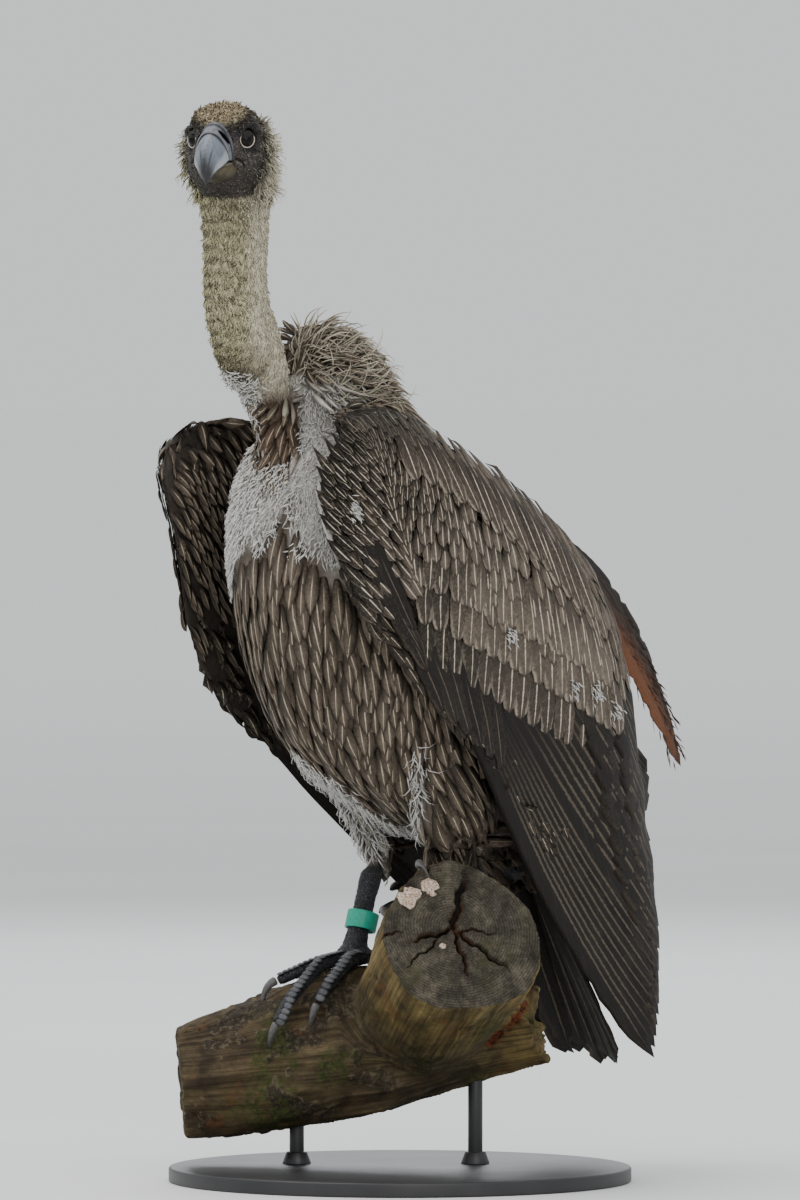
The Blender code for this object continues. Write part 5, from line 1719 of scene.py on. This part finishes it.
for name, side in SIDES:
    wing = WingFace(name, side)

    # small and middle coverts, laid out by spacing that grows away from the wrist
    candidates = np.stack([spread(-40 if side > 0 else -20, 330, 26000), spread(-78, 178, 26000)], axis=1)
    s, t = candidates.T
    off_rows = (s - 146) * 0.485 - (t + 29) * 0.875
    inside = (t > edge_at(FRONT_EDGE, s) + 6) & (t < edge_at(BACK_EDGE, s) - 4)
    candidates = candidates[inside & ((off_rows < -47) | (s < 100) & (off_rows < 6))]
    taken = {}
    kept = []
    for s0, t0 in candidates:
        gap = 5.0 + 6.4 * min(max((math.hypot(s0 + 10, t0 - 10) - 15) / 190, 0), 1)
        i, j = int(s0 // 10), int(t0 // 10)
        close = (p for a in (i - 1, i, i + 1) for b in (j - 1, j, j + 1) for p in taken.get((a, b), ()))
        if all(((p[0] - s0) * 0.62) ** 2 + (p[1] - t0) ** 2 > gap**2 * 0.72 for p in close):
            taken.setdefault((i, j), []).append((s0, t0))
            kept.append((s0, t0, gap))
    kept = np.array(kept)
    s, t, gap = kept.T
    count = len(s)
    depth_in = t - edge_at(FRONT_EDGE, s)
    hand = 1 - ramp_up((t - 10) + 0.25 * s, -12, 14)
    angle = 40 - 10 * ramp_up(depth_in, 120, 190) - 35 * hand
    angle += 5 * lumps(np.stack([s, t, s * 0], axis=1), (0.03, 0.03, 1))
    length = gap * spread(3.2, 4.0, count)
    width = gap * spread(0.56, 0.70, count)
    s = s - length * 0.45
    tint = covert_tint(s, t, side) * spread(0.75, 1.28, (count, 1))
    tint *= 1 + 0.015 * rng.normal(size=(count, 3))
    streak = spread(0.3, 1.0, count) * (1 - 0.75 * ramp_up(t - edge_at(BACK_EDGE, s), -58, -25))
    marks = marked(count, streak, spread(0.25, 1.0, count))
    level = 0.25 * rng.normal(size=count) - (0 if side > 0 else 2.2)
    piece = wing.lay(
        f"coverts_{name}", s, t, angle, length, width, (level - 3.0, level + 1.9), tint, marks,
        np.broadcast_to(rounded, (count, 6)), 1, 0.15, 0.13, 1.0,
    )  # fmt: skip
    finish_piece(piece, f"wing_coverts_{name}", covert_coat)

    # two long rows at the coverts' lower edge, then the scapulars along the back edge
    rows = []
    for tip_s, tip_t, slope_s, slope_t, number, size, half, shade, lift in (
        (177, -48, 188, 106, 18, 88, 11.0, 0.50, -0.2),
        (146, -29, 169, 95, 18, 76, 10.8, 0.86, 0.9),
        (122, -12, 150, 88, 18, 60, 9.4, 0.96, 1.7),
    ):
        q = np.linspace(-0.04, 1.22, number) + 0.008 * rng.normal(size=number)
        angle = 42 - 8 * ramp_up(q, 0.2, 0.8) - 7 * ramp_up(q, 0.8, 1.2)
        length = size * (0.80 + 0.25 * q) * spread(0.95, 1.06, number)
        s = tip_s + slope_s * q - length * np.cos(np.radians(angle - 6))
        t = tip_t + slope_t * q + length * np.sin(np.radians(angle - 6))
        shades = np.array((0.128, 0.102, 0.081)) * shade * spread(0.8, 1.2, (number, 1))
        shades *= (0.35 + 0.65 * ramp_up(q, 0.0, 0.35))[:, None]
        wide, flat = half * (0.8 + 0.3 * q), np.ones(number)
        rows.append((s, t, angle, length, wide, (lift - 2.6) * flat, lift * flat, shades))
    number = 15
    q = np.linspace(0, 1, number)
    s = -12 + 190 * q
    t = edge_at(BACK_EDGE, s) - 12 - 6 * rng.random(number)
    rows.append((
        s, t, 26 + 6 * rng.random(number), 50 + 30 * q, 9 + 3 * q, np.full(number, -1.0),
        np.full(number, 2.6), np.array((0.062, 0.046, 0.036)) * spread(0.7, 1.3, (number, 1)),
    ))  # fmt: skip
    s, t, angle, length, width, low, high, tint = (np.concatenate(part) for part in zip(*rows))
    count = len(s)
    marks = marked(count, spread(0.20, 0.40, count), spread(0.5, 1.0, count))
    piece = wing.lay(
        f"rows_{name}", s, t, angle, length, width, (low, high), tint, marks,
        worn(count, long_round, 0.25, 14), 3, 0.12, 0.10, 0.7,
    )  # fmt: skip
    finish_piece(piece, f"wing_rows_{name}", covert_coat)

    # flight feathers: primaries along the front edge, secondaries behind, alula and primary coverts
    sets = []
    q = np.linspace(0, 1, 9)
    tips = np.stack([640 - 62 * q, 9 + 40 * q], axis=1)
    roots = np.stack([150 + 20 * q, -42 + 26 * q], axis=1)
    sets.append((roots, tips, 15.5 - 2 * q, -3.6 + 0.8 * q, -1.6 + 0.4 * q, 0.0))
    q = np.linspace(0, 1, 17)
    tips = np.stack([566 - 136 * q**0.9, 60 + 70 * q], axis=1) + rng.normal(size=(17, 2)) * (3.0, 1.5)
    roots = np.stack([170 + 90 * q, -10 + 118 * q], axis=1)
    sets.append((roots, tips, 17.5 + 0 * q, -3.0 + 0.6 * q, -1.2 + 0.9 * q, 0.0))
    q = np.linspace(0, 1, 6)  # primary coverts
    tips = np.stack([205 + 84 * q, -62 + 29 * q], axis=1)
    roots = tips - np.stack([78 + 0 * q, -18 - 6 * q], axis=1)
    sets.append((roots, tips, 8.5 + 0 * q, -1.6 + 0 * q, 0.3 + 0 * q, 0.0))
    q = np.linspace(0, 1, 4)  # alula
    tips = np.stack([168 - 34 * q, -56 + 10 * q], axis=1)
    roots = np.stack([40 + 6 * q, -32 + 8 * q], axis=1)
    sets.append((roots, tips, 8.0 - 0.8 * q, -0.6 + 0.3 * q, 1.4 + 0.5 * q, 0.0))
    roots, tips, width, low, high = (
        np.concatenate([part[k] * np.ones(len(part[0])) if part[k].ndim == 1 else part[k] for part in sets])
        for k in range(5)
    )
    count = len(roots)
    run = tips - roots
    length = np.hypot(*run.T)
    angle = np.degrees(np.arctan2(-run[:, 1], run[:, 0])) + 4
    tint = np.array((0.0135, 0.0110, 0.0095)) * spread(0.7, 1.5, (count, 1))
    marks = marked(count, 0.30, spread(0.15, 0.8, count))
    piece = wing.lay(
        f"flight_{name}", roots[:, 0], roots[:, 1], angle, length, width, (low, high), tint, marks,
        worn(count, long_round, 0.5, 26), 5, 0.14, 0.12,
    )  # fmt: skip
    finish_piece(piece, f"wing_flight_{name}", flight_coat, (f"wing_{name}_flight",))

    # the loose innermost feathers, worn to a rufous fray below, that stand off the back edge
    number, steps = 7, 34
    q = np.linspace(0, 1, number)  # from the dark outer feathers to the frayed lower ones
    u = np.linspace(0, 1, steps)
    reach = (0.74 + 0.30 * np.sin(q * 2.4))[:, None] * u
    line = np.stack(
        [
            side * (0.052 + 0.012 * reach + 0.0022 * np.arange(number)[:, None]),
            0.116 + 0.160 * reach - 0.02 * reach**2,
            0.530 - 0.110 * reach - 0.072 * reach**2,
        ],
        axis=-1,
    )
    off = (0.014 - 0.030 * q)[:, None] * np.sin(np.clip(reach + 0.1, 0, 1) * 2.2)
    line = line + off[..., None] * np.array((0, 0.86, 0.5))
    tint = np.stack([0.015 + 0.15 * q**2, 0.011 + 0.048 * q**2, 0.009 + 0.015 * q**2], axis=1)
    marks = marked(number, 0.2, 0.5)
    piece = vanes(
        f"tertials_{name}", line, np.broadcast_to((side, 0.25, 0.1), line.shape), np.full(number, 0.0105),
        tint * spread(0.85, 1.15, (number, 1)), marks, unwrap[on_skin(line[:, 0])[2]],
        worn(number, long_round, 0.95, steps - 2, 1.6), 5, cup=0.12,
    )  # fmt: skip
    finish_piece(piece, f"wing_tertials_{name}", flight_coat)
    count = 130  # barbs that have come loose along their worn ends
    which, at = rng.integers(2, number, count), rng.integers(steps // 2, steps - 1, count)
    ahead = unit(line[which, at] - line[which, at - 1])
    aside = unit(np.cross((side, 0.25, 0.1), ahead)) * rng.choice((-1.0, 1.0), (count, 1), p=(0.3, 0.7))
    u = np.linspace(0, 1, 4)
    wisp = (ahead * 0.85 + aside * spread(0.15, 0.6, (count, 1))) * spread(0.007, 0.019, (count, 1))
    barb = (line[which, at] + aside * 0.0080)[:, None] + wisp[:, None] * u[:, None]
    piece = vanes(
        f"tertial_barbs_{name}", barb, np.broadcast_to((side, 0.25, 0.1), barb.shape),
        spread(0.0005, 0.0011, count), tint[which] * spread(0.7, 1.3, (count, 1)), np.full((count, 3), 0.1),
        unwrap[on_skin(barb[:, 0])[2]], np.array((1.0, 0.7)), cup=0.5,
    )  # fmt: skip
    finish_piece(piece, f"tertial_barbs_{name}", flight_coat)

# the wings' inner faces and edges wear plain small feathers, which also bed the coverts
roots = scatter(lambda m: owner > 0, lambda p: 0.0070 + 0.002 * ramp_up(-p[:, 2], -0.5, -0.35), 3.5)
count = len(roots)
flow = np.tile(DOWN, (count, 1))
on_right = owner[on_skin(roots)[2]] == 2
brown = on_right * ramp_up(roots[:, 2], 0.42, 0.48)
tint = np.array((0.036, 0.028, 0.022)) + brown[:, None] * np.array((0.074, 0.056, 0.043))
tint = tint * spread(0.7, 1.3, (count, 1))
marks = marked(count, spread(0.2, 0.5, count) + 0.5 * brown, spread(0.0, 0.5, count))
piece = grow(
    "wing_lining", roots, flow, spread(0.024, 0.034, count), spread(0.0042, 0.0056, count),
    (np.full(count, -0.001), spread(0.0014, 0.0032, count) + 0.0012 * on_right), tint, marks, slim, cup=0.06,
)  # fmt: skip
finish_piece(piece, "wing_lining", body_coat)

# flecks of white down work out between the left wing's coverts
flecks = (
    ((0.099, -0.155, 0.557), 44), ((0.135, -0.012, 0.452), 24), ((0.133, 0.064, 0.408), 20),
    ((0.131, 0.091, 0.403), 28), ((0.125, 0.121, 0.387), 24),
)  # fmt: skip
roots = [place + rng.normal(size=(hairs, 3)) * (0.0008, 0.003, 0.004) for place, hairs in flecks]
roots = np.concatenate(roots)
count = len(roots)
u = np.linspace(0, 1, 4)
lean = unit(np.tile(DOWN, (count, 1)) + 0.3 * rng.normal(size=(count, 3)) * (0.3, 1, 1))
line = roots[:, None] + lean[:, None] * (spread(0.004, 0.009, count)[:, None] * u)[..., None]
line[..., 0] += 0.0026 + spread(0.001, 0.003, count)[:, None] * np.sin(u * 2.4)
marks = marked(count, 0, 0)
piece = vanes(
    "wing_flecks", line, np.broadcast_to((1.0, 0, 0), line.shape), spread(0.0006, 0.0010, count),
    np.array((0.82, 0.81, 0.78)) * spread(0.85, 1.05, (count, 1)), marks, unwrap[on_skin(roots)[2]],
    np.array((1.0, 0.7)), cup=1.0, thick=-0.1,
)  # fmt: skip
finish_piece(piece, "wing_flecks", wool)

# ------------------------ Tail: twelve worn feathers
# The closed tail is a shallow arch of stiff black feathers, the outer ones beneath the middle pair,
# with tips worn ragged on the ground.

TAIL_ROOT, TAIL_TIP = np.array((0, 0.134, 0.276)), np.array((0, 0.240, 0.088))
number, steps = 12, 30
q = np.linspace(-1, 1, number)
u = np.linspace(0, 1, steps)
over_tail = np.cross((1, 0, 0), unit(TAIL_TIP - TAIL_ROOT))
over_tail *= np.sign(over_tail[1])
reach = 1.0 - 0.05 * np.abs(q) + 0.025 * rng.normal(size=number)
line = TAIL_ROOT + (TAIL_TIP - TAIL_ROOT) * (reach[:, None] * u * 1.06 - 0.06)[..., None]
line[..., 0] += q[:, None] * (0.012 + 0.020 * u)
line -= over_tail * (0.008 * q**2 + np.arange(number) % 2 * 0.0015)[:, None, None]
facing = unit(np.broadcast_to(over_tail, line.shape) + np.array((1, 0, 0)) * (q * 0.5)[:, None, None])
tint = np.array((0.015, 0.013, 0.012)) * spread(0.7, 1.4, (number, 1))
marks = marked(number, 0.3, spread(0.2, 0.8, number))
shape = np.array((0.5, 0.8, 0.9, 0.95, 1.0, 1.0, 1.0, 0.98, 0.9, 0.62))
piece = vanes(
    "tail", line, facing, np.full(number, 0.0145), tint, marks, unwrap[on_skin(line[:, 0])[2]],
    worn(number, shape, 0.8, steps - 2), 5, cup=0.10,
)  # fmt: skip
finish_piece(piece, "tail_feathers", flight_coat, ("tail",))

# ------------------------ Feet: scutes and claws
# Each toe wears a row of broad overlapping plates on top; the claws are blunt, curved horn.  The
# toes are traced again over the log, so that plates follow them where they grip.

TOES = {
    "inner": (13, 0.010, 0.070),
    "middle": (0, 0.000, 0.104),
    "outer": (-29, -0.009, 0.060),
    "hind": (176, 0.002, 0.036),
}
GRIPS = {"left": ((0.022, 0.006, 0.222), 38, 0.76), "right": ((-0.050, -0.004, 0.180), 0, 1.0)}
ANKLES = {"left": (0.040, 0.0, 0.292), "right": (-0.052, 0.026, 0.272)}
TOE_RADIUS = 0.0066
bark = tree_of_nodes("perch_branch")
lines, ups, halves = [], [], []
for name, side in SIDES:
    grip, turned, reach = GRIPS[name]
    ground, up, _, _ = bark.find_nearest(Vector(grip))
    for toe, (angle, offset, length) in TOES.items():
        turn = math.radians(turned - angle) * side
        heading = Vector((math.sin(turn), -math.cos(turn), 0))
        aside = Matrix.Rotation(math.radians(turned), 3, "Z") @ Vector((-side * offset, 0, 0))
        point, normal, _, _ = bark.find_nearest(ground + aside)
        steps = 48
        trail, tops = [point + normal * (TOE_RADIUS * 1.12)], [normal.copy()]
        for _ in range(steps):
            level = (heading - normal * heading.dot(normal)).normalized()
            point, found, _, _ = bark.find_nearest(point + level * (length * reach / steps))
            normal = (normal * 0.88 + found * 0.12).normalized()
            heading = level
            trail.append(point + normal * (TOE_RADIUS * 1.12))
            tops.append(normal.copy())
        trail, tops = np.array(trail), np.array(tops)
        plates = max(5, int(length * reach / 0.0052))
        for k in range(plates):
            centre = 0.12 + 0.86 * (k + 0.5) / plates
            at = np.clip(np.array((centre - 0.52 / plates, centre, centre + 0.62 / plates)) * steps, 0, steps)
            start, centre_of, end = (
                np.array([np.interp(a, np.arange(steps + 1), way) for way in trail.T]) for a in at
            )
            top = np.array(tops[int(centre * steps)])
            fat = TOE_RADIUS * (1.12 - 0.3 * centre)
            raised = np.array((0.62, 0.80, 0.93))[:, None] * fat
            halfway = start * 0.6 + centre_of * 0.4, centre_of * 0.4 + end * 0.6
            row = np.array([start, halfway[0], centre_of, halfway[1], end])
            lines.append(row + top * np.interp(np.linspace(0, 1, 5), (0, 0.5, 1), raised[:, 0])[:, None])
            ups.append(np.tile(top, (5, 1)))
            halves.append(fat * 0.86)
line, facing, width = np.array(lines), np.array(ups), np.array(halves)
count = len(line)
tint = np.array((0.074, 0.076, 0.083)) * spread(0.6, 1.35, (count, 1))
marks = marked(count, 0, 0.3)
piece = vanes(
    "toe_plates", line, facing, width, tint, marks, unwrap[on_skin(line[:, 2])[2]],
    np.array((0.92, 1.0, 0.86)), 5, cup=0.42, thick=0.04,
)  # fmt: skip
scute = Finish("leg_plates", Specular_IOR_Level=0.45)
grain = scute.noise(scute.where(), 900, 4, 0.65)
mottled = scute.ramp(grain, (0.3, grey(0.6)), (0.7, grey(1.4)))
plate_tint = scute.mix(1.0, scute.attribute("tint", "Color"), mottled, "MULTIPLY")
u, v = scute.vane()
plate_tint = scute.mix(scute.rise(v, 0.70, 0.98) * 0.6, plate_tint, (0.17, 0.17, 0.175))
scute.paint(Base_Color=plate_tint, Roughness=0.42 + grain * 0.2, Normal=scute.bump(grain, 0.0004, 0.6))
finish_piece(piece, "toe_plates", scute.material)

claw_horn = Finish("claw_horn", Specular_IOR_Level=0.45)
place = claw_horn.where()
streaks = claw_horn.noise(place, 500, 4, 0.6)
chips = claw_horn.noise(place, 1800, 3, 0.7)
dark = claw_horn.ramp(
    streaks, (0.3, (0.030, 0.029, 0.030)), (0.6, (0.075, 0.072, 0.070)), (0.8, (0.16, 0.15, 0.14))
)
dark = claw_horn.mix(claw_horn.attribute("root") * 0.55, dark, (0.16, 0.155, 0.15))
claw_horn.paint(
    Base_Color=dark, Roughness=0.32 + chips * 0.25, Normal=claw_horn.bump(chips + streaks, 0.0004, 0.5)
)
for name, side in SIDES:
    for toe in TOES:
        node = f"claw_{name}_{toe}"
        claw = copy_of([node], "claw")
        apply_modifier(claw, "SUBSURF", levels=3, render_levels=3)
        points = points_of(claw.data)
        ankle = np.array(ANKLES[name])
        off = np.linalg.norm(points - ankle, axis=1)
        store(claw.data, "root", 1 - (off - off.min()) / np.ptp(off))
        claw.data.shade_smooth()
        finish_piece(claw, node, claw_horn.material, (node,))

# ------------------------ Leg ring
# A plain split ring of green plastic, closed round the right shank and loose enough to slide on it.
# Its outside is a little scuffed and dulled.

ring = copy_of(["leg_ring"], "ring")
apply_modifier(ring, "BEVEL", width=0.0006, segments=3, limit_method="ANGLE", angle_limit=math.radians(50))
ring.data.shade_smooth()
plastic = Finish("leg_ring", Specular_IOR_Level=0.5)
place = plastic.where()
scratches = plastic.noise(plastic.stretched(place, (900, 900, 160)), 1, 4, 0.7)
dirt = plastic.noise(place, 260, 4, 0.6)
green = plastic.ramp(
    scratches, (0.35, (0.004, 0.30, 0.20)), (0.62, (0.006, 0.40, 0.27)), (0.78, (0.10, 0.52, 0.38))
)
green = plastic.mix(plastic.rise(dirt, 0.55, 0.75) * 0.55, green, (0.035, 0.060, 0.045))
plastic.paint(
    Base_Color=green, Roughness=0.36 + scratches * 0.25, Normal=plastic.bump(scratches, 0.0002, 0.4)
)
finish_piece(ring, "leg_ring", plastic.material, ("leg_ring",))
